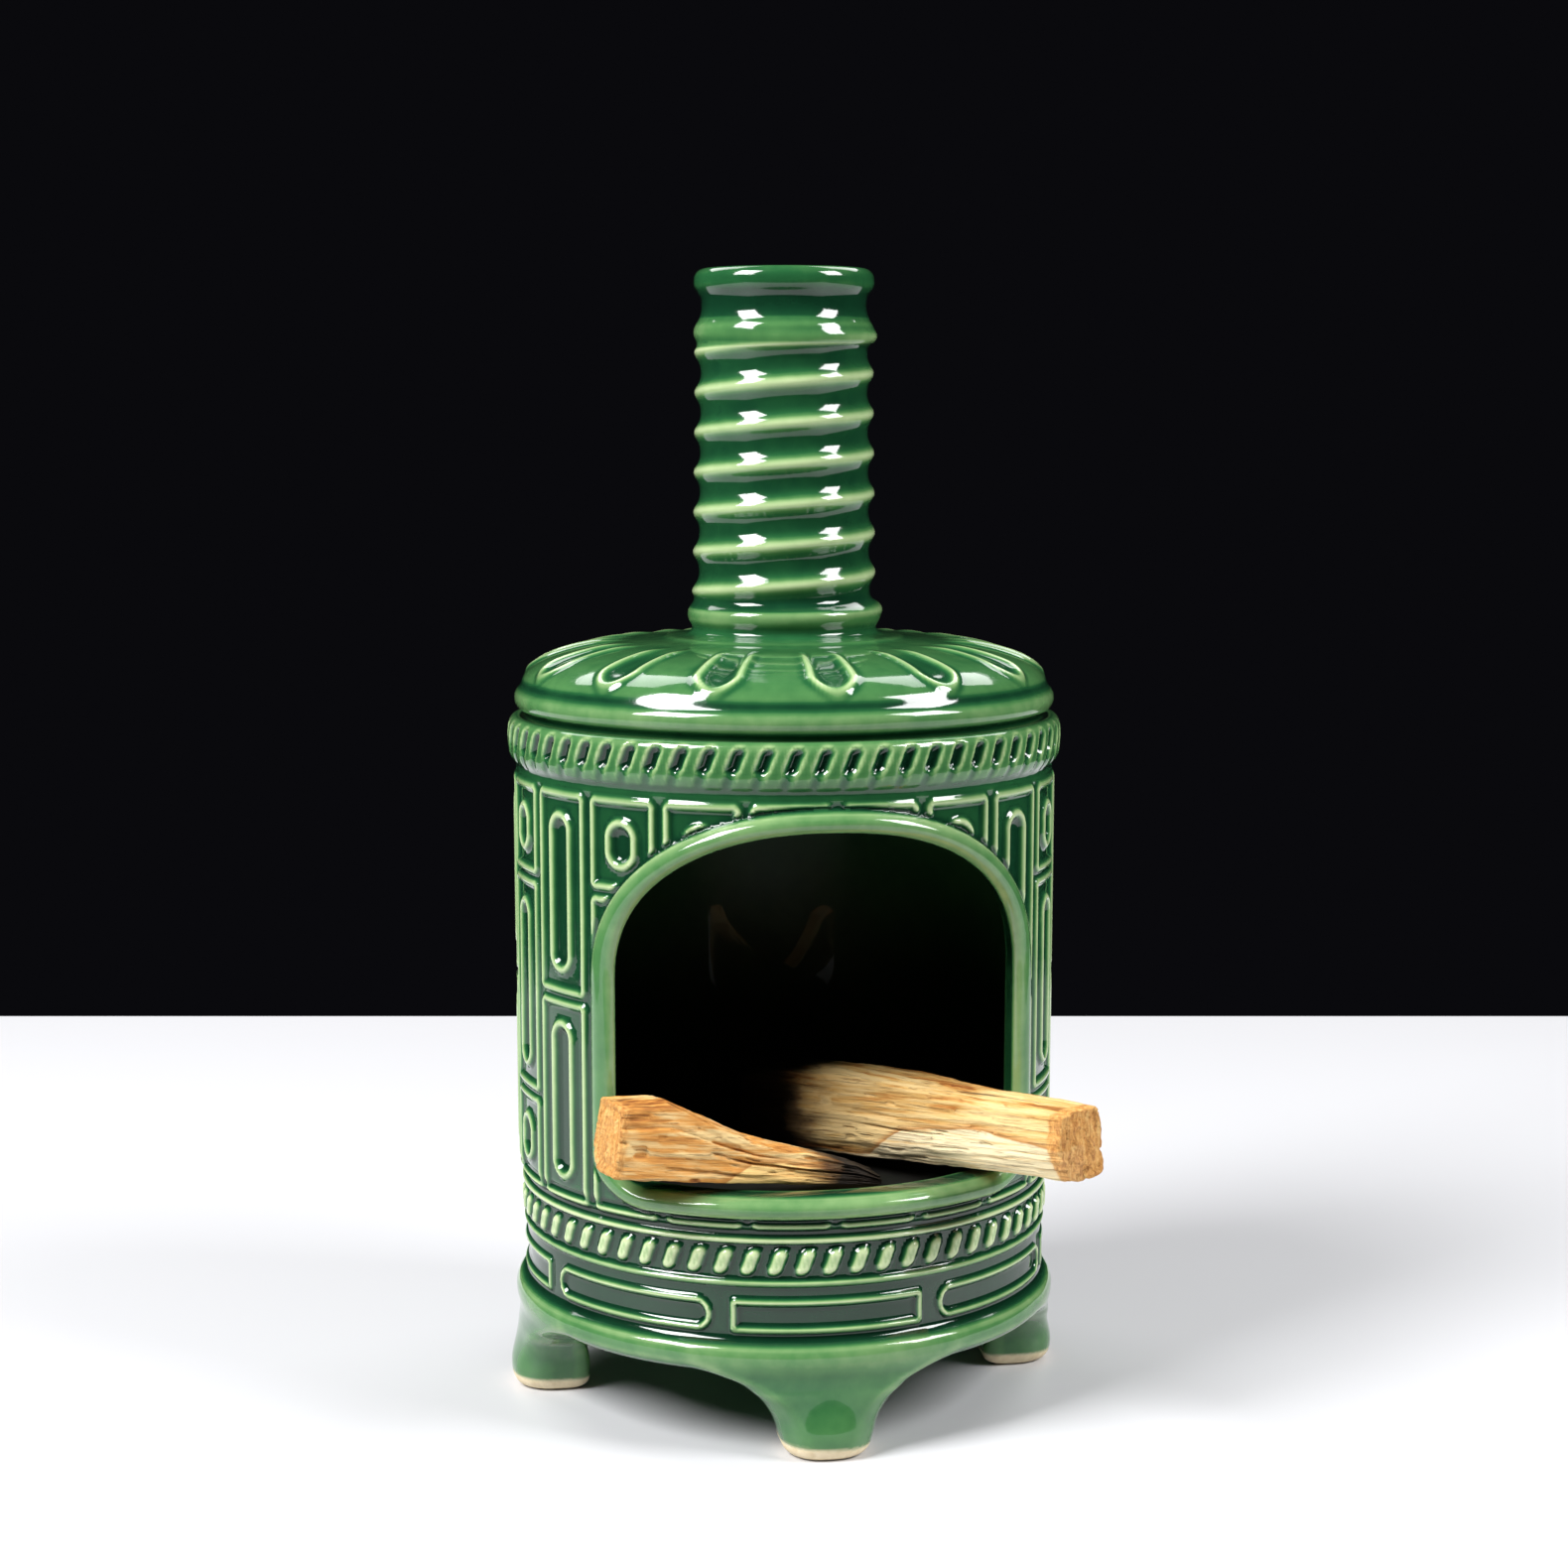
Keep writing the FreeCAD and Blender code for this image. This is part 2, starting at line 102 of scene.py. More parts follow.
WALL = Curve([
    (12.0, 40.7), (13.2, 41.4), (14.4, 42.0), (15.6, 42.1), (16.8, 41.7), (17.6, 40.5), (18.2, 40.2),
    (33.6, 40.3), (35.8, 40.6), (36.4, 41.0), (95.5, 41.1), (96.4, 41.35), (97.6, 41.3), (98.4, 41.5),
    (103.6, 41.5), (104.8, 41.5),
], softness=0.28)
COLLAR = Curve([
    (97.6, 0.0), (98.4, 0.55), (99.4, 0.95), (102.0, 1.1), (103.7, 0.95), (104.8, 0.35),
])

# the level that a recess is measured from, where the glaze would be thin
ENVELOPE = Curve([
    (12.0, 41.4), (15.6, 42.1), (17.5, 41.4), (19.0, 40.9), (33.0, 41.0), (36.4, 41.5), (95.5, 41.5),
    (96.4, 41.5), (97.6, 41.6), (98.8, 42.4), (102.0, 42.6), (104.0, 42.4), (104.8, 41.9),
])

MOUTH_HALF_WIDTH = 29.5
MOUTH_BOTTOM = 39.4
MOUTH_SPRING = 69.0
MOUTH_TOP = 91.6
MOUTH_CORNER = 4.0
MOUTH_FULLNESS = 2.3
FRAME_WIDTH = 3.6
FRAME_RADIUS = 41.2
FRAME_PROUD = 1.9
FAR_FROM_MOUTH = 60.0

COLUMN_PITCH = 18.0
COLUMN_START = 10.1
PANEL_HALF_WIDTH = 5.35
RING_HALF_WIDTH = 2.35
RING_MARGIN = 3.1
RING_RAISED = 1.1
RING_SUNK = 0.3
LINE_HALF_WIDTH = 1.12
LINE_HEIGHT = 0.62
WALL_RADIUS = 41.5
COLLAR_RADIUS = 42.0
TWO_LONG = [(34.9, 64.2), (66.1, 95.4)]
SHORT_LONG_SHORT = [(34.9, 47.7), (49.6, 80.9), (82.8, 95.4)]

GADROON_PITCH = 5.625
GADROON_START = 3.3
GADROON_MIDDLE = 101.0
GADROON_RECESS = 102.0
GADROON_DEPTH = 0.82
BEAD_START = 0.6
BEAD_HEIGHT = 29.4
BEAD_PROUD = 0.85
SLANT = 0.50
BELT_HEIGHT = 21.25
BELT_HALF_LENGTH = 14.2
BELT_HALF_HEIGHT = 2.1
BELT_RADIUS = 41.0
# each smooth ridge round the plinth: height, how proud, half width
PLINTH_RIBS = [(26.2, 0.65, 0.9), (32.6, 0.85, 0.9), (34.7, 0.35, 0.7)]
FOOT_PITCH = 90.0
FOOT_ROUNDING = 0.03

FOOT_HALF_WIDTH = Curve([
    (0.0, 5.9), (1.2, 6.5), (3.0, 7.0), (5.5, 7.8), (8.5, 9.8), (11.0, 13.0), (12.8, 17.5), (15.0, 22.0),
], softness=0.6)
FOOT_OUTSIDE = Curve([
    (0.0, 42.2), (1.5, 43.2), (4.0, 43.3), (8.0, 42.2), (12.7, 41.5), (15.0, 41.0),
], softness=0.8)
FOOT_INSIDE = Curve([(0.0, 32.2), (1.5, 31.6), (5.0, 31.8), (10.0, 33.6), (15.0, 36.0)], softness=0.8)
FOOT_TOP = 15.5


def arch_distance(x, z):
    """Distance outside the mouth's outline, negative in the opening."""
    half_height = (MOUTH_SPRING - MOUTH_BOTTOM) / 2 + 5.0
    below_x = np.abs(x) - MOUTH_HALF_WIDTH + MOUTH_CORNER
    below_z = np.abs(z - MOUTH_BOTTOM - half_height) - half_height + MOUTH_CORNER
    outside = np.hypot(np.maximum(below_x, 0.0), np.maximum(below_z, 0.0))
    box = outside + np.minimum(np.maximum(below_x, below_z), 0.0) - MOUTH_CORNER
    across = np.maximum(np.abs(x), 0.01) / MOUTH_HALF_WIDTH
    rise = MOUTH_TOP - MOUTH_SPRING
    up = np.maximum(z - MOUTH_SPRING, 0.01) / rise
    size = (across ** MOUTH_FULLNESS + up ** MOUTH_FULLNESS) ** (1.0 / MOUTH_FULLNESS)
    power = MOUTH_FULLNESS - 1.0
    slope = np.hypot((across / size) ** power / MOUTH_HALF_WIDTH, (up / size) ** power / rise)
    arch = (size - 1.0) / slope
    return np.where(z > MOUTH_SPRING, arch, box)


def rounded_box(x, z, half_x, half_z, corner):
    """Distance outside a rectangle with rounded corners, negative in it."""
    dx = np.abs(x) - half_x + corner
    dz = np.abs(z) - half_z + corner
    return np.hypot(np.maximum(dx, 0.0), np.maximum(dz, 0.0)) + np.minimum(np.maximum(dx, dz), 0.0) - corner


def panel_relief(across, z, low, high):
    """A raised thin rectangle with a raised obround ring and a sunk middle inside it."""
    middle = (low + high) / 2
    half = (high - low) / 2
    border = rounded_box(across, z - middle, PANEL_HALF_WIDTH, half, 0.7)
    ring = rounded_box(across, z - middle, RING_HALF_WIDTH, half - RING_MARGIN, RING_HALF_WIDTH)
    raised = np.maximum(bump(border, LINE_HALF_WIDTH), RING_RAISED * bump(ring, LINE_HALF_WIDTH + 0.1))
    sunk = smoothstep(-0.5, -1.7, ring) * RING_SUNK
    return LINE_HEIGHT * raised - sunk


def wall_relief(angle, z):
    """Columns of panels, two long ones and a long one between two short ones by turns."""
    across = np.radians(repeat(angle, COLUMN_PITCH, COLUMN_START)) * WALL_RADIUS
    column = np.round((angle - COLUMN_START) / COLUMN_PITCH).astype(int) % 2
    two_long = sum(panel_relief(across, z, low, high) for low, high in TWO_LONG)
    three = sum(panel_relief(across, z, low, high) for low, high in SHORT_LONG_SHORT)
    return np.where(column == 0, two_long, three)


def collar_relief(angle, z):
    """Slanted gadroons: the collar's bulge, with a short recess between each two."""
    slanted = angle - SLANT * (z - GADROON_MIDDLE)
    aside = np.radians(repeat(slanted, GADROON_PITCH, GADROON_START)) * COLLAR_RADIUS
    groove = bump(np.maximum(rounded_box(aside, z - GADROON_RECESS, 0.1, 1.0, 0.1), 0.0), 1.3)
    below = bump(aside, 1.3) * smoothstep(101.6, 100.2, z) * 0.3
    return COLLAR(z) * (1.0 - GADROON_DEPTH * np.maximum(groove, below))


def bead_relief(angle, z):
    """A row of slanted pills round the plinth."""
    slanted = angle - SLANT * (z - BEAD_HEIGHT)
    across = np.radians(repeat(slanted, GADROON_PITCH, BEAD_START)) * BELT_RADIUS
    bead = rounded_box(across, z - BEAD_HEIGHT, 0.35, 1.2, 0.35)
    return BEAD_PROUD * bump(np.maximum(bead, 0.0), 1.3)


def belt_relief(angle, z):
    """The eight long panels round the plinth: square ends at the feet, round ends between."""
    at_foot = np.radians(repeat(angle, FOOT_PITCH)) * BELT_RADIUS
    between = np.radians(repeat(angle, FOOT_PITCH, FOOT_PITCH / 2)) * BELT_RADIUS
    square = rounded_box(at_foot, z - BELT_HEIGHT, BELT_HALF_LENGTH, BELT_HALF_HEIGHT, 0.3)
    half_length = BELT_HALF_LENGTH + 0.1
    obround = rounded_box(between, z - BELT_HEIGHT, half_length, BELT_HALF_HEIGHT, BELT_HALF_HEIGHT)
    lines = np.maximum(bump(square, 0.85), bump(obround, 0.85))
    sunk = np.maximum(smoothstep(-0.3, -1.2, square), smoothstep(-0.3, -1.2, obround))
    return 0.6 * lines - 0.15 * sunk


def in_front(angle):
    """True on the half of the chamber that the mouth opens in."""
    return np.abs(repeat(angle, 360.0)) < 89.0


def body_surface(angle, z):
    """Radius of the outside of the fire chamber."""
    x = COLLAR_RADIUS * np.sin(np.radians(angle))
    from_mouth = np.where(in_front(angle), arch_distance(x, z), FAR_FROM_MOUTH)
    relief = wall_relief(angle, z) * smoothstep(FRAME_WIDTH - 0.2, FRAME_WIDTH + 0.9, from_mouth)
    relief = relief + collar_relief(angle, z) + bead_relief(angle, z) + belt_relief(angle, z)
    for height, proud, half_width in PLINTH_RIBS:
        relief = relief + proud * bump(z - height, half_width)
    middle = FRAME_WIDTH / 2 - 0.1
    roll = np.clip(1.0 - ((from_mouth - middle) / (FRAME_WIDTH / 2 + 0.1)) ** 2, 0.0, 1.0)
    frame_radius = FRAME_RADIUS + FRAME_PROUD * roll ** 0.75
    on_frame = smoothstep(FRAME_WIDTH + 0.6, FRAME_WIDTH - 0.3, from_mouth)
    return (WALL(z) + relief) * (1.0 - on_frame) + frame_radius * on_frame


def body_field(angle, r, z):
    """Below zero in the fire chamber's clay, and above it outside."""
    shell = r - body_surface(angle, z)
    shell = smooth_max(shell, SKIRT_BOTTOM - z, 1.6)
    top = SEAT_HEIGHT + (COLLAR_TOP - SEAT_HEIGHT) * smoothstep(SEAT_RADIUS - 0.3, SEAT_RADIUS + 0.3, r)
    shell = smooth_max(shell, z - top, 0.8)
    firebox = smooth_max(r - INSIDE_RADIUS, HEARTH_TOP - z, 3.0)
    shell = smooth_max(shell, -firebox, 0.8)
    plinth = smooth_max(r - PLINTH_RADIUS, z - HEARTH_UNDER, 3.0)
    shell = smooth_max(shell, -plinth, 1.2)
    turned = np.radians(repeat(angle, FOOT_PITCH))
    aside = r * np.sin(turned)
    rounding = FOOT_ROUNDING * aside ** 2 * smoothstep(10.0, 4.0, z)
    foot = smooth_max(np.abs(aside) - FOOT_HALF_WIDTH(z), r - FOOT_OUTSIDE(z) + rounding, 4.0)
    foot = smooth_max(foot, FOOT_INSIDE(z) - r, 3.0)
    foot = smooth_max(foot, -z, 1.4)
    foot = smooth_max(foot, z - FOOT_TOP, 2.0)
    shell = smooth_min(shell, foot, 2.2)
    x = r * np.sin(np.radians(angle))
    mouth = np.where(in_front(angle), arch_distance(x, z), FAR_FROM_MOUTH)
    return smooth_max(shell, -mouth, 1.8)


# ---- meshing a field

def polar(points):
    """Angle, radius and height of each point."""
    angle = np.degrees(np.arctan2(points[:, 0], -points[:, 1]))
    return angle, np.hypot(points[:, 0], points[:, 1]), points[:, 2]


def ring_points(turned, radius, height):
    """Points from their angles in radians, radii and heights."""
    return np.stack([radius * np.sin(turned), -radius * np.cos(turned), height], 1)


def field_at(field, points):
    angle, r, z = polar(points)
    return field(angle, r, z)


def beside(field, points, reach):
    """The field's values on both sides of each point, along X, Y and Z."""
    for shift in np.eye(3) * reach:
        yield field_at(field, points + shift), field_at(field, points - shift)


def gradient(field, points, step=0.04):
    return np.stack([(ahead - behind) / (2 * step) for ahead, behind in beside(field, points, step)], 1)


def onto_surface(field, points, rounds):
    """Moves each point to where the field is zero, along the field's slope."""
    for _ in range(rounds):
        slope = gradient(field, points)
        value = field_at(field, points)
        length = np.maximum((slope ** 2).sum(1), 0.05)
        move = -(value / length)[:, None] * slope
        size = np.maximum(np.linalg.norm(move, axis=1), 1e-9)
        points = points + move * np.minimum(1.0, 0.35 / size)[:, None]
    return points


def relax(points, quads, held):
    """Evens the spacing: each vertex goes to the mean of the middles of its faces."""
    middles = points[quads].mean(1)
    total = np.zeros_like(points)
    count = np.bincount(quads.ravel(), minlength=len(points))
    for axis in range(3):
        weights = np.repeat(middles[:, axis], 4)
        total[:, axis] = np.bincount(quads.ravel(), weights=weights, minlength=len(points))
    mean = total / np.maximum(count, 1)[:, None]
    return np.where(held[:, None], points, mean)


def crossed_cells(inside, after):
    """The grid cells that the surface passes through."""
    columns, rows, layers = inside.shape
    count = np.zeros((columns, rows - 1, layers - 1), np.int8)
    for layer in (inside, after):
        for j in (slice(0, -1), slice(1, None)):
            for k in (slice(0, -1), slice(1, None)):
                count += layer[:, j, k]
    return np.argwhere((count > 0) & (count < 8))


def place_in_cells(values, cells):
    """Where each cell's vertex goes: the mean of the places where its edges cross the surface."""
    columns = len(values)
    corners = [(a, b, c) for a in (0, 1) for b in (0, 1) for c in (0, 1)]
    corner_values = {}
    for a, b, c in corners:
        corner_values[a, b, c] = values[(cells[:, 0] + a) % columns, cells[:, 1] + b, cells[:, 2] + c]
    place = np.zeros((len(cells), 3))
    hits = np.zeros(len(cells))
    for start in corners:
        for axis in range(3):
            if start[axis]:
                continue
            end = tuple(start[n] + (n == axis) for n in range(3))
            one, two = corner_values[start], corner_values[end]
            crossed = (one < 0.0) != (two < 0.0)
            share = np.where(crossed, one / np.where(crossed, one - two, 1.0), 0.0)
            for n in range(3):
                place[:, n] += crossed * (start[n] + (share if n == axis else 0.0))
            hits += crossed
    return cells + place / hits[:, None]


def within(edges, axis, size):
    """Leaves out the edges on the grid's first and last layer along one axis."""
    return edges[(edges[:, axis] > 0) & (edges[:, axis] < size - 1)]


def net_quads(inside, after, index):
    """One quad for each grid edge that the surface crosses, between the four cells round it."""
    rows, layers = inside.shape[1:]
    i, j, k = within(within(np.argwhere(inside != after), 1, rows), 2, layers).T
    quads = [[index[i, j - 1, k - 1], index[i, j, k - 1], index[i, j, k], index[i, j - 1, k]]]
    i, j, k = within(np.argwhere(inside[:, :-1] != inside[:, 1:]), 2, layers).T
    quads.append([index[i - 1, j, k - 1], index[i, j, k - 1], index[i, j, k], index[i - 1, j, k]])
    i, j, k = within(np.argwhere(inside[:, :, :-1] != inside[:, :, 1:]), 1, rows).T
    quads.append([index[i - 1, j - 1, k], index[i, j - 1, k], index[i, j, k], index[i - 1, j, k]])
    return np.concatenate([np.stack(four, 1) for four in quads])


def surface_net(field, columns, radii, heights):
    """One vertex in each grid cell that the surface crosses, and the quads between them.
    The grid is round: the first index turns about Z."""
    angles = np.arange(columns) * 360.0 / columns
    values = field(angles[:, None, None], radii[None, :, None], heights[None, None, :])
    inside = values < 0.0
    after = np.roll(inside, -1, axis=0)
    cells = crossed_cells(inside, after)
    index = np.full((columns, len(radii) - 1, len(heights) - 1), -1, np.int64)
    index[tuple(cells.T)] = np.arange(len(cells))
    place = place_in_cells(values, cells)
    angle = np.radians(place[:, 0] * 360.0 / columns)
    r = np.interp(place[:, 1], np.arange(len(radii)), radii)
    z = np.interp(place[:, 2], np.arange(len(heights)), heights)
    return ring_points(angle, r, z), net_quads(inside, after, index), cells


def strip(low, high):
    """Quads between two rings of as many points."""
    return np.stack([low, np.roll(low, -1), np.roll(high, -1), high], 1)


def halving(many, few):
    """Triangles between a ring and one of half as many points."""
    a, b, c = many[::2], many[1::2], np.roll(many[::2], -1)
    nxt = np.roll(few, -1)
    return [np.stack([a, b, few], 1), np.stack([b, nxt, few], 1), np.stack([b, c, nxt], 1)]


def close_disc(points, cells, quads, level):
    """Fills the round hole that the grid leaves about the axis, at the height nearest to level."""
    rim = np.flatnonzero((cells[:, 1] == 0) & (np.abs(points[:len(cells), 2] - level) < 1.5))
    rim = rim[np.argsort(np.arctan2(points[rim, 0], -points[rim, 1]))]
    height = points[rim, 2].mean()
    triangles = []
    fours = []
    ring = rim
    radius = np.hypot(points[rim, 0], points[rim, 1]).mean()
    points = [points]
    total = len(points[0])
    angle = np.arctan2(points[0][rim, 0], -points[0][rim, 1])
    while len(ring) > 12 and radius > 2.0:
        halve = len(ring) % 2 == 0 and 2 * PI * radius / len(ring) < 1.0
        radius -= max(2 * PI * radius / len(ring), 0.8) * 1.6
        if radius <= 1.0:
            break
        angle = angle[::2] if halve else angle
        inner = np.arange(total, total + len(angle))
        total += len(angle)
        points.append(ring_points(angle, radius, np.full(len(angle), height)))
        if halve:
            triangles += halving(ring, inner)
        else:
            fours.append(strip(ring, inner))
        ring = inner
    points.append(np.array([[0.0, 0.0, height]]))
    triangles.append(np.stack([ring, np.roll(ring, -1), np.full(len(ring), total)], 1))
    return np.concatenate(points), np.concatenate([quads] + fours), np.concatenate(triangles)


def face_outwards(points, faces, direction):
    """Turns each face so that its normal follows direction, a vector at each vertex."""
    across = points[faces[:, 2]] - points[faces[:, 0]]
    along = points[faces[:, -1]] - points[faces[:, 1]]
    normal = np.cross(across, along)
    if faces.shape[1] == 3:
        normal = np.cross(points[faces[:, 1]] - points[faces[:, 0]], across)
    wrong = (normal * direction[faces].mean(1)).sum(1) < 0.0
    return np.where(wrong[:, None], faces[:, ::-1], faces)


def add_object(name, data):
    made = bpy.data.objects.new(name, data)
    bpy.context.scene.collection.objects.link(made)
    return made


def mesh_object(name, points, face_sets, normals=None):
    """A mesh object in metres from points in millimetres."""
    mesh = bpy.data.meshes.new(name)
    corners = np.concatenate([faces.ravel() for faces in face_sets]).astype(np.int32)
    sizes = np.concatenate([np.full(len(f), f.shape[1]) for f in face_sets]).astype(np.int32)
    starts = np.concatenate([[0], np.cumsum(sizes)[:-1]]).astype(np.int32)
    mesh.vertices.add(len(points))
    mesh.vertices.foreach_set("co", (points * MM).astype(np.float32).ravel())
    mesh.loops.add(len(corners))
    mesh.loops.foreach_set("vertex_index", corners)
    mesh.polygons.add(len(sizes))
    mesh.polygons.foreach_set("loop_start", starts)
    mesh.update(calc_edges=True)
    mesh.validate()
    mesh.polygons.foreach_set("use_smooth", np.ones(len(mesh.polygons), bool))
    if normals is not None:
        mesh.normals_split_custom_set_from_vertices(normals.astype(np.float32))
    return add_object(name, mesh)


def fewer_faces(points, face_sets, share):
    """The same surface with fewer triangles, fewest where it is plain. The modifier works badly
    on faces as small as these in metres, so it is given millimetres."""
    rough = mesh_object("rough", points / MM, face_sets)
    decimate = rough.modifiers.new("fewer", "DECIMATE")
    decimate.ratio = share
    decimate.use_collapse_triangulate = True
    thinned = bpy.data.meshes.new_from_object(rough.evaluated_get(bpy.context.evaluated_depsgraph_get()))
    points = np.zeros(3 * len(thinned.vertices))
    thinned.vertices.foreach_get("co", points)
    corners = np.zeros(len(thinned.loops), np.int64)
    thinned.loops.foreach_get("vertex_index", corners)
    dense = rough.data
    bpy.data.objects.remove(rough)
    bpy.data.meshes.remove(dense)
    bpy.data.meshes.remove(thinned)
    return points.reshape(-1, 3), corners.reshape(-1, 3)


def add_attribute(made, name, values):
    attribute = made.data.attributes.new(name, "FLOAT", "POINT")
    attribute.data.foreach_set("value", np.asarray(values, np.float32))


def unit(vectors):
    return vectors / np.maximum(np.linalg.norm(vectors, axis=1), 1e-9)[:, None]


def bend(field, points, reach):
    """How strongly the surface bulges at the scale of reach: above 0 on edges, below 0 in grooves."""
    total = -6.0 * field_at(field, points)
    for ahead, behind in beside(field, points, reach):
        total = total + ahead + behind
    return total / reach ** 2


def thinness(edge, pooled):
    """How thin the glaze is, about 0.5 on a plain wall: it runs off the edges into the recesses."""
    return 0.47 + 0.24 * np.maximum(edge, 0.0) + 0.09 * np.minimum(edge, 0.0) - 0.24 * pooled


# ---- the fire chamber

EDGE_LIMIT = 3.2
POOL_DEPTH = 0.7
BODY_SHARE_KEPT = 0.56
BODY_COLUMNS = 576
BODY_RADII = np.arange(29.4, 45.0, 0.5)
BODY_HEIGHTS = np.arange(-0.9, 106.4, 0.5)


def body_normals(points):
    """Which way the surface faces. The middles of the hearth and its underside are flat."""
    _, r, z = polar(points)
    flat = np.zeros_like(points)
    flat[:, 2] = np.where(z > (HEARTH_TOP + HEARTH_UNDER) / 2, 1.0, -1.0)
    return np.where((r < BODY_RADII[1])[:, None], flat, unit(gradient(body_field, points)))


def body_triangles():
    """The fire chamber's points and triangles, fewer of them where it is plain."""
    points, quads, cells = surface_net(body_field, BODY_COLUMNS, BODY_RADII, BODY_HEIGHTS)
    held = cells[:, 1] == 0
    for _ in range(2):
        points = relax(points, quads, held)
        points = np.where(held[:, None], points, onto_surface(body_field, points, 2))
    points, quads, top_faces = close_disc(points, cells, quads, HEARTH_TOP)
    points, quads, under_faces = close_disc(points, cells, quads, HEARTH_UNDER)
    triangles = np.concatenate([top_faces, under_faces])
    normals = body_normals(points)
    quads = face_outwards(points, quads, normals)
    triangles = face_outwards(points, triangles, normals)
    return fewer_faces(points, [quads, triangles], BODY_SHARE_KEPT)


def body_thinness(points, normals, angle, r, z):
    """How thin the glaze is on the fire chamber, from its edges, recesses, frame and beads."""
    close_edge = bend(body_field, points, 0.55)
    wide_edge = bend(body_field, points, 1.1)
    edge = np.where(r < BODY_RADII[1], 0.0, 0.6 * close_edge + 0.4 * wide_edge)
    edge = np.clip(edge, -EDGE_LIMIT, EDGE_LIMIT)
    pooled = np.clip((ENVELOPE(z) - r) / POOL_DEPTH, -0.3, 1.3) * smoothstep(38.5, 39.5, r)
    pooled = pooled * smoothstep(12.0, 14.0, z)
    x = r * np.sin(np.radians(angle))
    from_mouth = np.where(normals[:, 1] < 0.6, arch_distance(x, z), FAR_FROM_MOUTH)
    on_frame = bump(from_mouth - FRAME_WIDTH / 2, FRAME_WIDTH * 0.8) * (points[:, 1] < 0.0) * (z > 36.0)
    beads = bead_relief(angle, z) * smoothstep(40.0, 41.0, r)
    return thinness(edge * (1.0 - 0.5 * on_frame), pooled) - 0.04 * on_frame + 0.19 * beads


def make_fire_chamber(material):
    points, faces = body_triangles()
    angle, r, z = polar(points)
    disc = r < BODY_RADII[1]
    points = np.where(disc[:, None], points, onto_surface(body_field, points, 1))
    normals = body_normals(points)
    made = mesh_object("fire_chamber_glazed", points, [faces], normals)
    add_attribute(made, "thin", body_thinness(points, normals, angle, r, z))
    add_attribute(made, "clay", smoothstep(2.3, 1.7, z + 0.25 * np.sin(np.radians(angle) * 9.0)))
    # Near-black and matt on the firebox's inner wall and hearth, fading out towards the top.
    in_firebox = smoothstep(38.6, 37.2, r) * smoothstep(HEARTH_TOP - 1.0, HEARTH_TOP, z)
    add_attribute(made, "dark_inside", in_firebox * smoothstep(103.0, 96.0, z))
    made.data.materials.append(material)
    return made


# ---- the lid

FLUE_PITCH = 6.03
FLUE_TURN = 9.4
FLUE_LEVEL = 155.06
FLUE_RIB = 0.98
FLUE_FOOT = 118.0
DOME_UNDER = 113.2
PETALS = 14
PETAL_START = 1.5
PETAL_END = 36.2
PETAL_HALF_WIDTH = 3.1
PETAL_NARROWING = 1.1
LID_COLUMNS = 480
FLUE_COLUMNS = 240
FINE_STEP = 0.34
COARSE_STEP = 1.2
# where glaze gathers all the way round: height, half width, outside which radius, how much
LID_GROOVES = [(109.7, 1.0, 38.0, 1.0), (166.8, 2.2, 11.9, 0.5), (105.2, 1.2, 38.0, 0.7)]

LID_OUTSIDE = [
    (36.6, 99.6), (36.6, 104.1), (39.8, 104.1), (40.1, 105.4), (41.1, 106.1), (41.55, 107.2), (41.4, 108.3),
    (40.6, 109.2), (40.35, 109.9), (40.0, 110.8), (39.2, 111.8), (37.7, 112.9), (35.5, 113.9), (32.0, 114.9),
    (27.5, 115.7), (22.0, 116.2), (18.9, 116.4), (17.9, 116.75), (15.6, 116.9), (14.5, 117.2), (14.1, 117.9),
    (14.2, 118.4),
    (14.75, 119.2), (14.85, 120.0), (14.7, 120.9), (13.5, 122.0), (13.1, 123.0), (13.0, 130.0),
    (12.8, 145.0), (12.6, 160.0), (12.9, 161.0), (13.7, 162.0), (13.8, 162.7), (13.6, 163.6), (12.9, 164.6),
    (12.5, 166.0), (12.5, 167.6), (12.9, 168.4), (13.6, 169.3), (13.75, 170.2), (13.55, 171.3), (12.9, 172.0),
    (12.1, 172.2),
]
LID_INSIDE = [
    (11.2, 171.9), (10.3, 171.0), (9.9, 169.5), (9.8, 166.0), (9.8, 124.0), (10.0, 116.0), (11.5, 113.2),
    (16.0, 112.2), (27.0, 111.4), (31.5, 110.2), (33.0, 108.0), (33.0, 101.0), (33.4, 99.7), (34.2, 99.5),
    (36.0, 99.5),
]


def round_corners(points, rounds=3):
    """Cuts the corners of a closed outline, which ends up smooth."""
    line = np.array(points, float)
    for _ in range(rounds):
        after = np.roll(line, -1, axis=0)
        line = np.stack([0.75 * line + 0.25 * after, 0.25 * line + 0.75 * after], 1).reshape(-1, 2)
    return line


def evenly(line, spacing):
    """Points along an outline whose step at each place is spacing(r, z)."""
    closed = np.vstack([line, line[:1]])
    lengths = np.concatenate([[0.0], np.cumsum(np.linalg.norm(np.diff(closed, axis=0), axis=1))])
    places = [0.0]
    while places[-1] < lengths[-1]:
        r = np.interp(places[-1], lengths, closed[:, 0])
        z = np.interp(places[-1], lengths, closed[:, 1])
        places.append(places[-1] + spacing(r, z))
    places = np.array(places[:-1]) * lengths[-1] / places[-1]
    return np.stack([np.interp(places, lengths, closed[:, n]) for n in (0, 1)], 1)


def lid_spacing(r, z):
    """Short steps on the outside, which has relief, and long ones inside."""
    if z > FLUE_FOOT:
        return FINE_STEP if r > 9.95 else COARSE_STEP
    on_dome = z > DOME_UNDER + 0.05 * (WALL_RADIUS - r) or r > 36.0
    return FINE_STEP if z > SEAT_HEIGHT and on_dome else COARSE_STEP


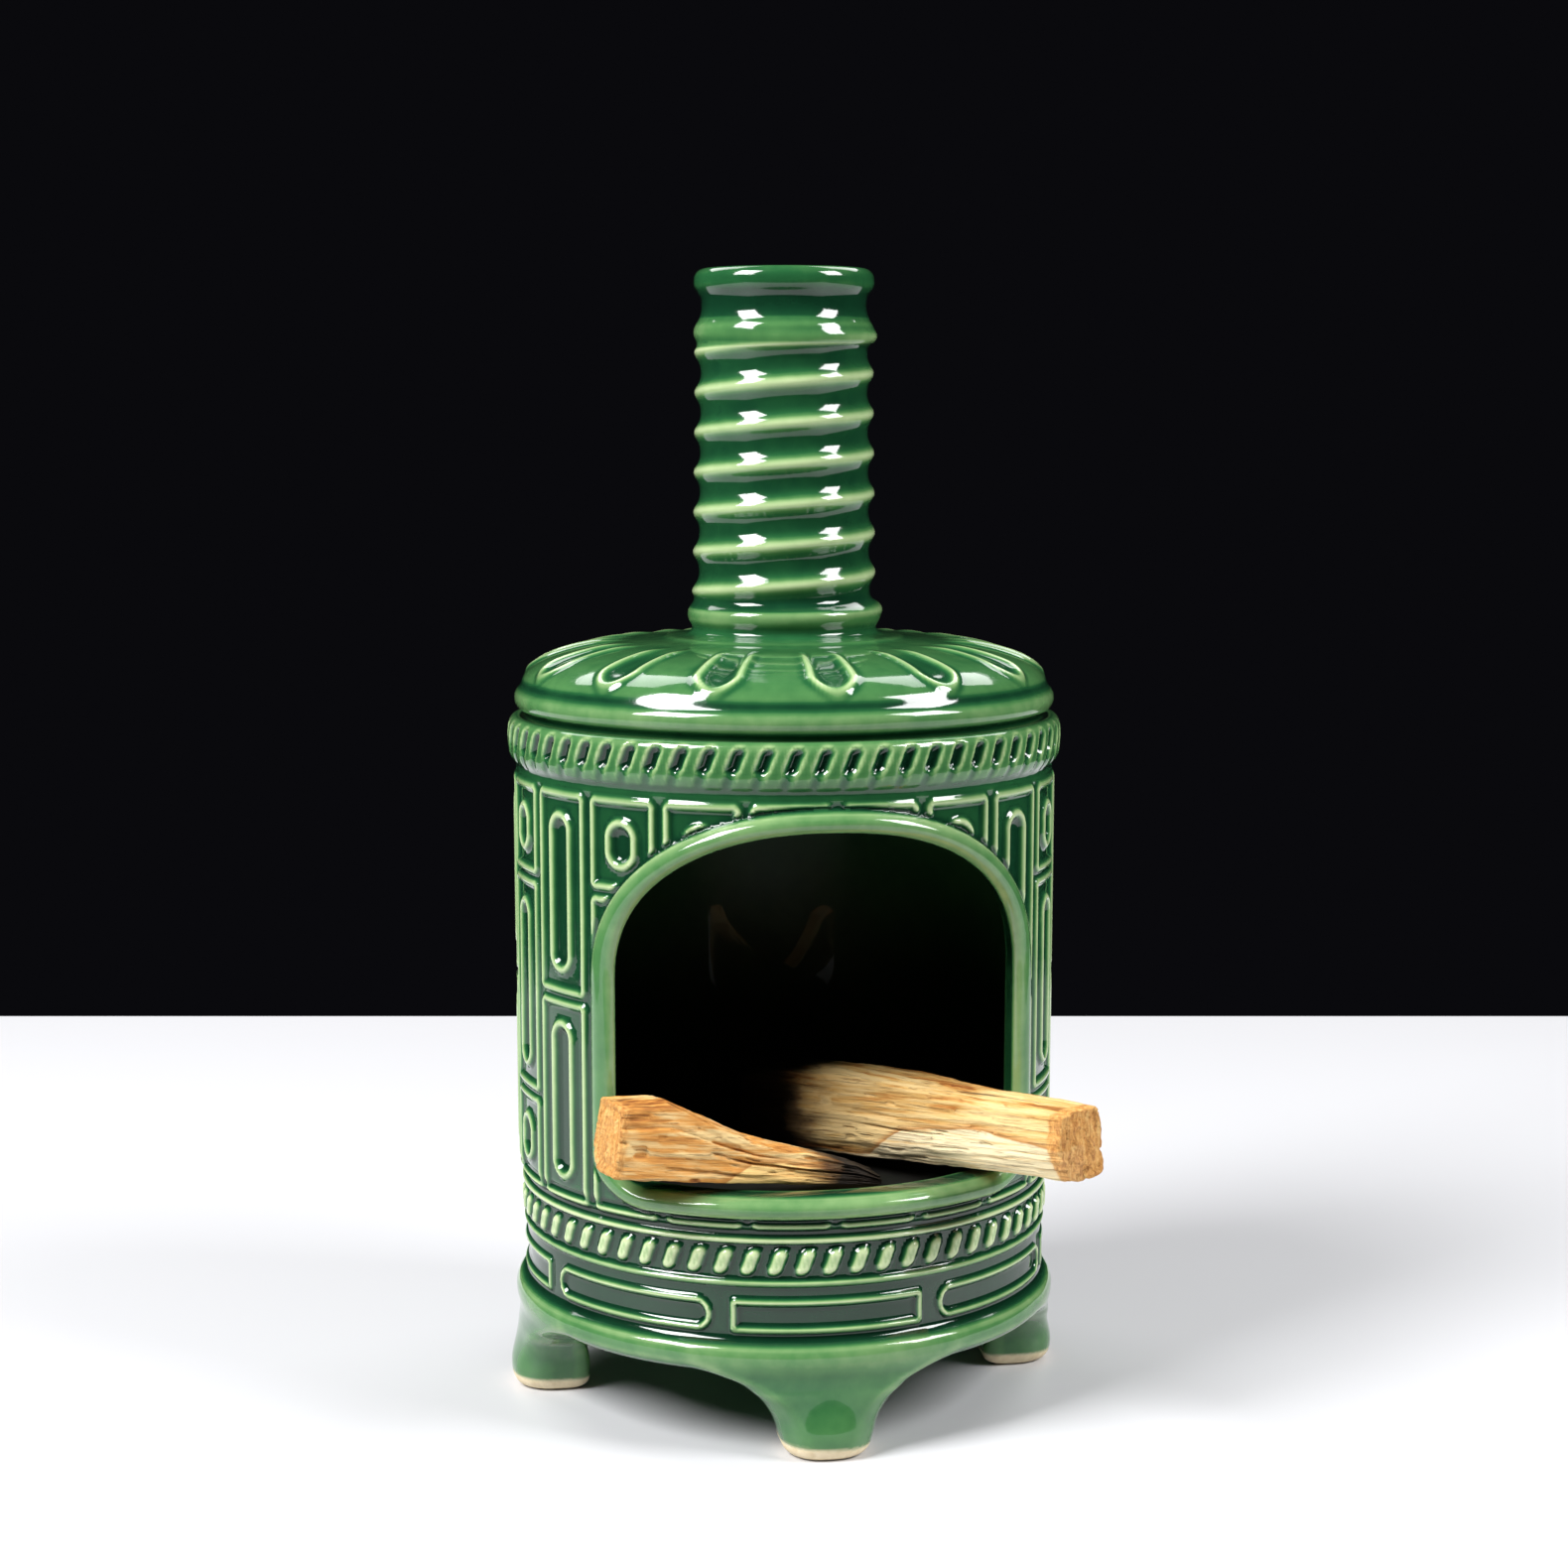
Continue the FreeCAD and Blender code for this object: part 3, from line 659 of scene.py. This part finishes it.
def flue_relief(angle, z):
    """One continuous right-handed rib round the flue, from the bead at its foot to the ring."""
    turns = (z - FLUE_LEVEL) / FLUE_PITCH - (angle + FLUE_TURN) / 360.0
    phase = turns - np.round(turns)
    rib = (0.5 + 0.5 * np.cos(2 * PI * phase + 0.35 * np.sin(2 * PI * phase))) ** 1.05
    reach = smoothstep(119.0, 122.5, z) * smoothstep(163.5, 161.0, z)
    return FLUE_RIB * rib * reach


def petal_relief(angle, r):
    """Drop-shaped petals: a raised line round the outer end that fades towards the flue."""
    across = np.radians(repeat(angle, 360.0 / PETALS, PETAL_START)) * r
    narrow = PETAL_HALF_WIDTH - PETAL_NARROWING * np.clip((PETAL_END - r) / 14.0, 0.0, 1.0)
    sides = np.abs(across) - narrow
    tip = np.hypot(across, r - PETAL_END) - PETAL_HALF_WIDTH
    outline = np.where(r > PETAL_END, tip, sides)
    fade = smoothstep(23.0, 29.5, r)
    line = 0.40 * bump(outline, 1.1)
    sunk = 0.24 * smoothstep(-0.3, -1.9, outline) * smoothstep(25.0, 33.0, r)
    return (line - sunk) * fade


def lid_rows():
    """The lid's points, the row of point numbers at each place of its outline, and the relief."""
    line = evenly(round_corners(LID_OUTSIDE + LID_INSIDE), lid_spacing)
    ahead = np.roll(line, -1, axis=0) - np.roll(line, 1, axis=0)
    across = np.stack([ahead[:, 1], -ahead[:, 0]], 1)
    across /= np.linalg.norm(across, axis=1)[:, None]
    rows = []
    points = []
    reliefs = []
    total = 0
    for (r, z), (nr, nz) in zip(line, across):
        count = LID_COLUMNS if r > 15.2 else FLUE_COLUMNS
        outer = lid_spacing(r, z) == FINE_STEP
        angle = np.arange(count) * 360.0 / count
        relief = np.zeros(count)
        if outer and z > FLUE_FOOT:
            relief = flue_relief(angle, z)
        elif outer and z > 109.0:
            relief = petal_relief(angle, r)
        points.append(ring_points(np.radians(angle), r + nr * relief, z + nz * relief))
        reliefs.append(relief)
        rows.append(np.arange(total, total + count))
        total += count
    return np.concatenate(points), rows, np.concatenate(reliefs)


def lid_faces(rows):
    """Quads between rows of one length, and triangles where the number of columns halves or doubles."""
    quads = []
    triangles = []
    for low, high in zip(rows, rows[1:] + rows[:1]):
        if len(low) == len(high):
            quads.append(strip(low, high))
        elif len(low) > len(high):
            triangles += halving(low, high)
        else:
            triangles += [part[:, ::-1] for part in halving(high, low)]
    return [np.concatenate(quads), np.concatenate(triangles)]


def matched(points, other, row):
    """The points of another row, as many as row has."""
    if len(other) == len(row):
        return points[other]
    return points[other[::2]] if len(other) > len(row) else points[np.repeat(other, 2)]


def lid_edges(points, rows):
    """A measure like bend()'s, from each vertex's height over its neighbours a few steps off."""
    reach = 2
    result = np.zeros(len(points))
    for n, row in enumerate(rows):
        near = points[row]
        below = matched(points, rows[(n - reach) % len(rows)], row)
        above = matched(points, rows[(n + reach) % len(rows)], row)
        side = (np.roll(near, reach, axis=0) + np.roll(near, -reach, axis=0)) / 2
        middle = ((below + above) / 2 + side) / 2
        tangent = above - below
        around = np.roll(near, -1, axis=0) - np.roll(near, 1, axis=0)
        outward = unit(np.cross(around, tangent))
        step = np.maximum(np.linalg.norm(tangent, axis=1) / 2, 0.05)
        result[row] = 4.0 * ((near - middle) * outward).sum(1) / step ** 2
    return result


def lid_thinness(points, rows, relief, r, z):
    """How thin the glaze is on the lid, from its edges, ribs, petals and grooves."""
    edge = np.clip(lid_edges(points, rows), -EDGE_LIMIT, EDGE_LIMIT)
    on_flue = z > 121.0
    pooled = np.where(on_flue, 0.85 - relief / 0.9, np.clip(-relief / 0.35, 0.0, 1.2))
    pooled = np.where(on_flue & (np.abs(z - 162.7) < 2.2), 0.0, pooled)
    for height, half_width, beyond, amount in LID_GROOVES:
        pooled = pooled + amount * bump(z - height, half_width) * (r > beyond)
    crest = np.where(on_flue & (z < 161.0) & (r > 12.0), relief, 0.0)
    return thinness(edge, pooled) + 0.02 + 0.16 * crest


def make_lid(material):
    points, rows, relief = lid_rows()
    made = mesh_object("chimney_lid_glazed", points, lid_faces(rows))
    _, r, z = polar(points)
    add_attribute(made, "thin", lid_thinness(points, rows, relief, r, z))
    add_attribute(made, "clay", smoothstep(104.3, 103.6, z) * smoothstep(35.8, 36.3, r))
    # Near-black and matt inside the flue and under the dome.
    in_flue = smoothstep(11.4, 10.2, r)
    in_dome = np.where(r > 36.2, 0.0, smoothstep(0.0, -0.8, z - DOME_UNDER))
    add_attribute(made, "dark_inside", np.where(z > FLUE_FOOT, in_flue, in_dome))
    made.data.materials.append(material)
    return made


# ---- the sticks

POINTS_PER_SIDE = 22
SPLINTER_DEPTH = 0.4
TORN_DEPTH = 0.2
END_RINGS = 14
END_BULGE = 0.25
END_WAVE = 0.15
END_SLACK = 0.25


def soft_noise(rng, shape, cells):
    """Smooth random numbers between -1 and 1 that close on themselves along the first axis."""
    grid = rng.uniform(-1.0, 1.0, (cells[0], cells[1] + 2))
    u = np.linspace(0.0, cells[0], shape[0], endpoint=False)
    v = np.linspace(0.0, cells[1], shape[1])
    iu, iv = u.astype(int), v.astype(int)
    fu, fv = u - iu, v - iv
    fu, fv = fu * fu * (3 - 2 * fu), fv * fv * (3 - 2 * fv)
    a = grid[iu % cells[0]][:, iv] * (1 - fv) + grid[iu % cells[0]][:, iv + 1] * fv
    b = grid[(iu + 1) % cells[0]][:, iv] * (1 - fv) + grid[(iu + 1) % cells[0]][:, iv + 1] * fv
    return a * (1 - fu)[:, None] + b * fu[:, None]


def corner_outline(corners, per_side, rounds):
    """A closed outline with per_side points on each side, its corners rounded a little."""
    corners = np.array(corners, float)
    side = []
    for start, end in zip(corners, np.roll(corners, -1, axis=0)):
        for n in range(per_side):
            side.append(start + (end - start) * n / per_side)
    line = np.array(side)
    for _ in range(rounds):
        line = 0.5 * line + 0.25 * np.roll(line, 1, axis=0) + 0.25 * np.roll(line, -1, axis=0)
    return line


def split_surface(rng, share, around, cracks):
    """How far the surface stands out at each station and each place round it: grain, torn
    splinters and cracks."""
    shape = (around, len(share))
    fibre = np.zeros((len(share), around))
    layers = [(around // 2, 9, 0.10), (around // 5, 6, 0.18), (13, 8, 0.28), (8, 40, 0.06)]
    for round_it, along, depth in layers:
        fibre += soft_noise(rng, shape, (round_it, along)).T * depth
    splinter = soft_noise(rng, shape, (around // 3, 14)).T
    fibre -= smoothstep(0.5, 0.85, splinter) * SPLINTER_DEPTH
    across = np.arange(around) / around
    for where, begin, finish, deep in cracks:
        slit = bump(repeat(across - where, 1.0) * around, 2.2)
        open_at = smoothstep(begin, begin + 0.12, share) * smoothstep(finish, finish - 0.12, share)
        fibre -= slit[None, :] * open_at[:, None] * deep
    return fibre


def stick_end(rng, edge, sign):
    """The rings that close a torn end, from its edge in to the middle."""
    centre = edge.mean(0)
    rings = []
    for n, shrink in enumerate(np.linspace(0.96, 0.08, END_RINGS)):
        ring = centre + (edge - centre) * shrink
        torn = soft_noise(rng, (len(edge), 1), (9 + n % 5, 1))[:, 0] * TORN_DEPTH
        bulge = END_BULGE + END_WAVE * math.cos(n)
        ring[:, 0] = centre[0] + sign * bulge + torn * min(1.0, 3 * shrink)
        rings.append(ring)
    return np.array(rings)


def stick_faces(count, around):
    """Quads between count rings of points, and a fan of triangles at each end of them."""
    tip = count * around
    rings = np.arange(tip).reshape(count, around)
    quads = np.concatenate([strip(low, high) for low, high in zip(rings, rings[1:])])
    fan_start = np.stack([np.full(around, tip), np.roll(rings[0], -1), rings[0]], 1)
    fan_end = np.stack([np.full(around, tip + 1), rings[-1], np.roll(rings[-1], -1)], 1)
    return quads, np.concatenate([fan_start, fan_end])


def faces_inwards(points, quads, length, level):
    """True if the quads' normals point at the stick's middle line, which runs at level."""
    middle = np.zeros_like(points)
    middle[:, 0] = np.clip(points[:, 0], 2.0, length - 2.0)
    middle[:, 2] = level
    direction = unit(points - middle)
    normal = np.cross(points[quads[:, 1]] - points[quads[:, 0]], points[quads[:, 3]] - points[quads[:, 0]])
    return (normal * direction[quads[:, 0]]).sum() < 0.0


def make_stick(name, place, stations, section, seed, cracks, material, attributes):
    """A split stick along +X. section(s) gives the corners (y, z) at the share s of its length."""
    rng = np.random.default_rng(seed)
    length = place["length"]
    share = np.linspace(0.0, 1.0, stations)
    lines = np.array([corner_outline(section(s), POINTS_PER_SIDE, 5) for s in share])
    around = lines.shape[1]
    middle = lines.mean(1, keepdims=True)
    outward = lines - middle
    outward /= np.linalg.norm(outward, axis=2, keepdims=True)
    lines = lines + outward * split_surface(rng, share, around, cracks)[:, :, None]
    x = np.repeat((share * length)[:, None], around, 1)
    x[0] -= soft_noise(rng, (around, 1), (13, 1))[:, 0] * END_SLACK
    x[-1] += soft_noise(rng, (around, 1), (13, 1))[:, 0] * END_SLACK
    sides = np.dstack([x, lines[:, :, 0], lines[:, :, 1]])
    start = stick_end(rng, sides[0], -1.0)[::-1]
    end = stick_end(rng, sides[-1], 1.0)
    rings = np.concatenate([start, sides, end])
    tips = np.array([start[0].mean(0), end[-1].mean(0)])
    points = np.concatenate([rings.reshape(-1, 3), tips])
    quads, triangles = stick_faces(len(rings), around)
    if faces_inwards(points, quads, length, middle[:, 0, 1].mean()):
        quads, triangles = quads[:, ::-1], triangles[:, ::-1]
    made = mesh_object(name, points, [quads, triangles])
    for key, function in attributes.items():
        add_attribute(made, key, function(points))
    made.data.materials.append(material)
    place_stick(made, **place)
    return made


def place_stick(made, turn, rise, reach, offset, level, length):
    """Puts a stick whose outer end's lowest middle point is at reach, offset and level."""
    turned = math.radians(turn)
    outward = Vector((math.sin(turned), -math.cos(turned), 0.0))
    aside = Vector((math.cos(turned), math.sin(turned), 0.0))
    end = outward * reach + aside * offset + Vector((0.0, 0.0, level))
    rotation = Matrix.Rotation(turned - PI / 2, 4, "Z") @ Matrix.Rotation(-math.radians(rise), 4, "Y")
    start = end - (rotation @ Vector((length, 0.0, 0.0)))
    made.matrix_world = Matrix.Translation(start * MM) @ rotation


# a stick's length, the turn and rise of its line in degrees, and where its outer end is
RIGHT = {"length": 64.0, "turn": 35.6, "rise": 5.5, "reach": 60.4, "offset": -0.4, "level": 42.4}
LEFT = {"length": 42.0, "turn": -75.1, "rise": 7.6, "reach": 40.8, "offset": 28.5, "level": 43.0}

# long splits: where round the section (0 to 1), where they begin and end along it, how deep
RIGHT_CRACKS = [(0.80, 0.35, 0.72, 0.5), (0.66, 0.5, 0.95, 0.35), (0.05, 0.3, 0.8, 0.5)]
LEFT_CRACKS = [(0.25, 0.02, 0.64, 1.2), (0.31, 0.35, 1.2, 0.5), (0.17, 0.4, 0.9, 0.4), (0.44, 0.1, 0.7, 0.4)]


def right_section(s):
    """Corners of the right stick: thickest a third of the way along, with its lower front edge split."""
    x = s * RIGHT["length"]
    top = np.interp(x, [0.0, 8.0, 20.0, 40.0, 64.0], [12.2, 13.0, 13.2, 11.7, 10.1])
    wide = 4.9
    return [(-wide + 2.6, 0.0), (wide - 0.3, 0.1), (wide, top * 0.5), (wide - 0.5, top - 0.2),
            (0.0, top), (-wide + 0.4, top - 0.5), (-wide, top * 0.55), (-wide + 0.3, 3.0)]


def left_section(s):
    """Corners of the left stick, which thins out towards its burnt inner end."""
    x = s * LEFT["length"]
    top = np.interp(x, [0.0, 4.0, 12.0, 21.0, 28.0, 35.0, 42.0], [1.6, 3.2, 4.7, 6.1, 8.6, 11.3, 10.7])
    low = np.interp(x, [0.0, 12.0, 42.0], [0.1, 0.0, 0.0])
    wide = np.interp(x, [0.0, 8.0, 42.0], [3.6, 4.7, 4.9])
    cut = min(2.6, top * 0.3)
    return [(-wide + cut, low), (wide - 0.3, low + 0.1), (wide, low + top * 0.5), (wide - 0.5, top - 0.2),
            (0.0, top), (-wide + 0.5, top - 0.5), (-wide, low + top * 0.5), (-wide + 0.2, low + cut * 0.9)]


# ---- materials

def linear(red, green, blue):
    """A screen colour, 0 to 255, as the shader wants it."""
    def one(value):
        value /= 255.0
        return value / 12.92 if value <= 0.04045 else ((value + 0.055) / 1.055) ** 2.4
    return (one(red), one(green), one(blue), 1.0)


class Nodes:
    """A short way to write a node tree."""

    def __init__(self, name):
        self.material = bpy.data.materials.new(name)
        self.material.use_nodes = True
        self.tree = self.material.node_tree
        self.shader = self.tree.nodes["Principled BSDF"]

    def feed(self, node, inputs):
        """Gives a node its inputs: numbers, colours or the outputs of other nodes."""
        for key, source in inputs.items():
            if isinstance(source, (int, float, tuple)):
                node.inputs[key].default_value = source
            else:
                self.tree.links.new(source, node.inputs[key])
        return node

    def add(self, kind, inputs, **settings):
        node = self.tree.nodes.new("ShaderNode" + kind)
        for key, value in settings.items():
            setattr(node, key, value)
        return self.feed(node, inputs)

    def attribute(self, name):
        return self.add("Attribute", {}, attribute_name=name).outputs["Fac"]

    def noise(self, scale, detail=4.0, stretch=(1.0, 1.0, 1.0), distortion=0.0, roughness=0.5):
        place = self.add("TexCoord", {}).outputs["Object"]
        place = self.add("Mapping", {"Vector": place, "Scale": stretch}).outputs["Vector"]
        inputs = {"Vector": place, "Scale": scale, "Detail": detail}
        inputs.update({"Roughness": roughness, "Distortion": distortion})
        return self.add("TexNoise", inputs).outputs["Fac"]

    def math(self, operation, *values, clamp=False):
        node = self.add("Math", dict(enumerate(values)), operation=operation, use_clamp=clamp)
        return node.outputs["Value"]

    def scaled(self, value, low, high, to_low=0.0, to_high=1.0):
        inputs = {"Value": value, "From Min": low, "From Max": high, "To Min": to_low, "To Max": to_high}
        return self.add("MapRange", inputs).outputs["Result"]

    def ramp(self, value, stops):
        node = self.add("ValToRGB", {"Fac": value})
        elements = node.color_ramp.elements
        while len(elements) < len(stops):
            elements.new(0.5)
        for element, (position, colour) in zip(elements, stops):
            element.position = position
            element.color = colour
        return node.outputs["Color"]

    def mix(self, factor, first, second):
        return self.add("Mix", {0: factor, 6: first, 7: second}, data_type="RGBA").outputs[2]

    def bump(self, height, strength, distance):
        node = self.add("Bump", {"Strength": strength, "Distance": distance, "Height": height})
        self.feed(self.shader, {"Normal": node.outputs["Normal"]})


def glaze(name):
    """Green celadon: pooled and dark in the recesses, thin and pale on every edge."""
    n = Nodes(name)
    cloud = n.noise(70.0, 3.0)
    mottle = n.noise(420.0, 3.0)
    level = n.math("MULTIPLY_ADD", cloud, 0.20, n.attribute("thin"))
    level = n.math("MULTIPLY_ADD", mottle, 0.10, level)
    level = n.math("SUBTRACT", level, 0.18, clamp=True)
    colour = n.ramp(level, [
        (0.00, linear(8, 36, 22)), (0.20, linear(16, 56, 34)), (0.40, linear(34, 86, 48)),
        (0.56, linear(74, 122, 70)), (0.74, linear(138, 168, 114)), (1.00, linear(190, 206, 158)),
    ])
    # Near-black, rough and without coat inside the firebox, the flue and under the dome.
    dark_inside = n.attribute("dark_inside")
    dark_inside = n.math("MULTIPLY", dark_inside, n.scaled(n.noise(90.0, 4.0), 0.2, 0.6, 0.95, 1.0), clamp=True)
    dark_inside_colour = n.ramp(n.noise(260.0), [(0.3, linear(14, 13, 12)), (0.8, linear(36, 32, 27))])
    colour = n.mix(dark_inside, colour, dark_inside_colour)
    clay = n.attribute("clay")
    clay_colour = n.ramp(n.noise(900.0), [(0.3, linear(214, 196, 160)), (0.7, linear(232, 217, 186))])
    colour = n.mix(clay, colour, clay_colour)
    rough = n.scaled(n.noise(160.0, 2.0), 0.3, 0.7, 0.07, 0.13)
    rough = n.math("MULTIPLY_ADD", clay, 0.7, rough)
    rough = n.math("MULTIPLY_ADD", dark_inside, 0.6, rough, clamp=True)
    gloss = n.math("MULTIPLY_ADD", n.math("MAXIMUM", clay, dark_inside), -0.75, 0.6, clamp=True)
    n.feed(n.shader, {"Base Color": colour, "Roughness": rough, "Coat Weight": gloss,
                      "Coat Roughness": 0.02, "IOR": 1.5, "Specular IOR Level": 0.3})
    orange_peel = n.math("MULTIPLY_ADD", n.noise(300.0, 2.0), 1.0, n.math("MULTIPLY", n.noise(2400.0), 0.15))
    n.bump(orange_peel, 0.12, 0.0004)
    return n.material


def wood(name, pale, honey, brown, streak, cream, black_char_and_shadow):
    """Split resinous wood: long grain, brown resin veins, pores, cream sapwood, and an inner end darkened
    partly by charring and partly by painted shadow.
    The attribute sap is the distance in millimetres inside the sapwood's edge."""
    n = Nodes(name)
    grain = n.noise(1500.0, 5.0, (0.035, 1.0, 1.0), 0.3, 0.65)
    veins = n.noise(330.0, 5.0, (0.085, 1.0, 1.0), 2.2, 0.6)
    patches = n.noise(110.0, 3.0, (0.30, 1.0, 1.0), 1.0)
    level = n.math("MULTIPLY_ADD", grain, 0.35, n.math("MULTIPLY", veins, 0.75))
    level = n.math("MULTIPLY_ADD", patches, 0.7, n.math("SUBTRACT", level, 0.40))
    colour = n.ramp(level, [(0.26, streak), (0.34, brown), (0.43, honey), (0.56, pale), (0.85, pale)])
    ragged = n.math("MULTIPLY_ADD", n.noise(200.0, 3.0, (0.5, 1.0, 1.0), 0.3), 1.8, -0.9)
    sap = n.math("ADD", n.attribute("sap"), ragged)
    cream = n.ramp(grain, [(0.3, honey), (0.5, cream)])
    colour = n.mix(n.math("MULTIPLY", n.scaled(sap, -1.1, -0.1), 0.85), colour, brown)
    colour = n.mix(n.scaled(sap, -0.1, 0.15), colour, cream)
    pores = n.scaled(n.noise(3000.0, 3.0, (0.03, 1.0, 1.0), 0.0, 0.6), 0.58, 0.70)
    colour = n.mix(n.math("MULTIPLY", pores, 0.5), colour, streak)
    cracks = n.scaled(n.noise(520.0, 4.0, (0.05, 1.0, 1.0), 0.6), 0.66, 0.72)
    colour = n.mix(n.math("MULTIPLY", cracks, 0.7), colour, linear(70, 36, 12))
    end = n.attribute("end")
    rings = n.noise(800.0, 5.0, (1.0, 1.0, 0.35), 1.5, 0.7)
    end_colour = n.ramp(rings, [
        (0.34, linear(156, 94, 36)), (0.5, linear(208, 148, 76)), (0.68, linear(230, 186, 116)),
    ])
    colour = n.mix(n.math("MULTIPLY", end, 0.9), colour, end_colour)
    # Towards the inner end the wood turns brown, then near-black: partly real charring, partly painted shadow
    # where the mouth's jamb shades the stick.
    char_and_shadow = n.math("SUBTRACT", n.attribute("char_and_shadow"), 0.4)
    char_and_shadow = n.math("MULTIPLY_ADD", n.noise(500.0, 4.0, (0.4, 1.0, 1.0)), 0.8, char_and_shadow)
    colour = n.mix(n.scaled(char_and_shadow, 0.1, 0.5, 0.0, 0.75), colour, linear(84, 44, 16))
    colour = n.mix(n.scaled(char_and_shadow, 0.35, 0.75, 0.0, black_char_and_shadow), colour, linear(14, 11, 9))
    rough = n.scaled(grain, 0.3, 0.7, 0.5, 0.8)
    n.feed(n.shader, {"Base Color": colour, "Roughness": rough, "Specular IOR Level": 0.35})
    height = n.math("MULTIPLY_ADD", grain, 0.8, n.math("MULTIPLY", pores, -0.5))
    height = n.math("MULTIPLY_ADD", cracks, -1.2, n.math("MULTIPLY_ADD", veins, 0.5, height))
    n.bump(height, 0.8, 0.0006)
    return n.material


# ---- the two sticks

PALE = linear(230, 198, 138)
HONEY = linear(214, 170, 100)
ORANGE = linear(212, 148, 70)
BROWN = linear(180, 118, 52)
STREAK = linear(128, 70, 24)


def right_sap(points):
    """Cream sapwood along the lower front edge of the outer half."""
    places = [25.0, 29.0, 34.0, 45.0, 55.0, 61.0, 64.0]
    edge = np.interp(points[:, 0], places, [0.4, 2.6, 5.6, 6.5, 6.1, 5.0, 4.8])
    return np.clip(np.minimum(edge - points[:, 2], 0.6 - points[:, 1]), -6.0, 6.0)


def left_sap(points):
    """The paler lobe that has split from the lower front of the left stick."""
    edge = np.interp(points[:, 0], [1.0, 8.0, 16.0, 21.0, 27.0], [0.4, 2.2, 3.4, 3.2, -1.0])
    return np.clip(np.minimum(edge - points[:, 2], points[:, 1] + 0.6), -6.0, 6.0)


def ramp_along(begin, finish):
    """How far along the stick each point is between two places, 0 to 1."""
    return lambda points: smoothstep(begin, finish, points[:, 0])


def make_right_stick():
    material = wood("stick_wood_right", PALE, HONEY, BROWN, STREAK, linear(238, 220, 178), 0.9)
    # The inner end is darkened by charring and by painted shadow.
    attributes = {"sap": right_sap, "end": ramp_along(61.9, 62.5), "char_and_shadow": ramp_along(22.0, 2.0)}
    return make_stick("right_stick_wood", RIGHT, 200, right_section, 5, RIGHT_CRACKS, material, attributes)


def make_left_stick():
    material = wood("stick_wood_left", PALE, ORANGE, BROWN, STREAK, linear(232, 194, 124), 0.95)
    # The inner end is darkened by charring and by painted shadow.
    attributes = {"sap": left_sap, "end": ramp_along(40.9, 41.5), "char_and_shadow": ramp_along(15.0, 3.0)}
    return make_stick("left_stick_wood", LEFT, 140, left_section, 9, LEFT_CRACKS, material, attributes)


# ---- build

body = make_fire_chamber(glaze("green_glaze_body"))
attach(body, "body")
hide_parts("fire_chamber")

lid = make_lid(glaze("green_glaze_lid"))
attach(lid, "lid")
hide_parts("chimney_lid")

right_stick = make_right_stick()
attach(right_stick, "right_fuel")
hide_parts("right_stick")

left_stick = make_left_stick()
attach(left_stick, "left_fuel")
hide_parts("left_stick")


# ---- stage, light and camera

CAMERA_TURN = -9.4
CAMERA_DISTANCE = 0.4333
CAMERA_HEIGHT = 0.1506
CAMERA_PITCH = 7.51
TABLE_SIDE = 0.34
TABLE_FRONT = 0.27
TABLE_BACK = 0.262
LIT_POINT = (0.0, 0.0, 0.08)


def make_table():
    """A small white table, square to the camera. A larger one would mirror in the upper walls."""
    corners = [(-TABLE_SIDE, -TABLE_FRONT), (TABLE_SIDE, -TABLE_FRONT), (TABLE_SIDE, TABLE_BACK),
               (-TABLE_SIDE, TABLE_BACK)]
    turned = Matrix.Rotation(math.radians(CAMERA_TURN), 3, "Z")
    mesh = bpy.data.meshes.new("table")
    mesh.from_pydata([turned @ Vector((x, y, 0.0)) for x, y in corners], [], [(0, 1, 2, 3)])
    table = add_object("table", mesh)
    n = Nodes("table_white")
    n.feed(n.shader, {"Base Color": (0.60, 0.60, 0.62, 1.0), "Roughness": 0.45})
    table.data.materials.append(n.material)


def softbox(name, place, size, power):
    light = bpy.data.lights.new(name, "AREA")
    light.shape = "RECTANGLE"
    light.size, light.size_y = size
    light.energy = power
    lamp = add_object(name, light)
    lamp.location = place
    lamp.rotation_euler = (Vector(LIT_POINT) - Vector(place)).to_track_quat("-Z", "Y").to_euler()


def around(azimuth, distance, height):
    """A point at an angle from the camera's side of the object, growing towards +X."""
    turned = math.radians(CAMERA_TURN + azimuth)
    return (distance * math.sin(turned), -distance * math.cos(turned), height)


make_table()
# each light: name, angle from the camera, distance, height, size, power
for name, azimuth, distance, height, size, power in [
        ("softbox_left", -56.0, 0.72, 0.74, (0.42, 0.50), 18.0),
        ("softbox_right", 70.0, 0.76, 0.66, (0.38, 0.42), 9.5),
        ("softbox_back_left", -140.0, 0.7, 0.9, (0.5, 0.5), 3.5),
        ("softbox_back_right", 140.0, 0.7, 0.9, (0.5, 0.5), 3.5)]:
    softbox(name, around(azimuth, distance, height), size, power)

world = bpy.data.worlds.new("studio")
bpy.context.scene.world = world
world.use_nodes = True
background = world.node_tree.nodes["Background"].inputs
background["Color"].default_value = (0.003, 0.003, 0.004, 1.0)
background["Strength"].default_value = 1.0

camera_data = bpy.data.cameras.new("camera")
camera_data.sensor_width = 36.0
camera_data.lens = 64.69
camera_data.clip_start = 0.01
camera = add_object("camera", camera_data)
camera.location = around(0.0, CAMERA_DISTANCE, CAMERA_HEIGHT)
camera.rotation_euler = (math.radians(90.0 - CAMERA_PITCH), 0.0, math.radians(CAMERA_TURN))
bpy.context.scene.camera = camera
bpy.context.scene.view_settings.view_transform = "Standard"
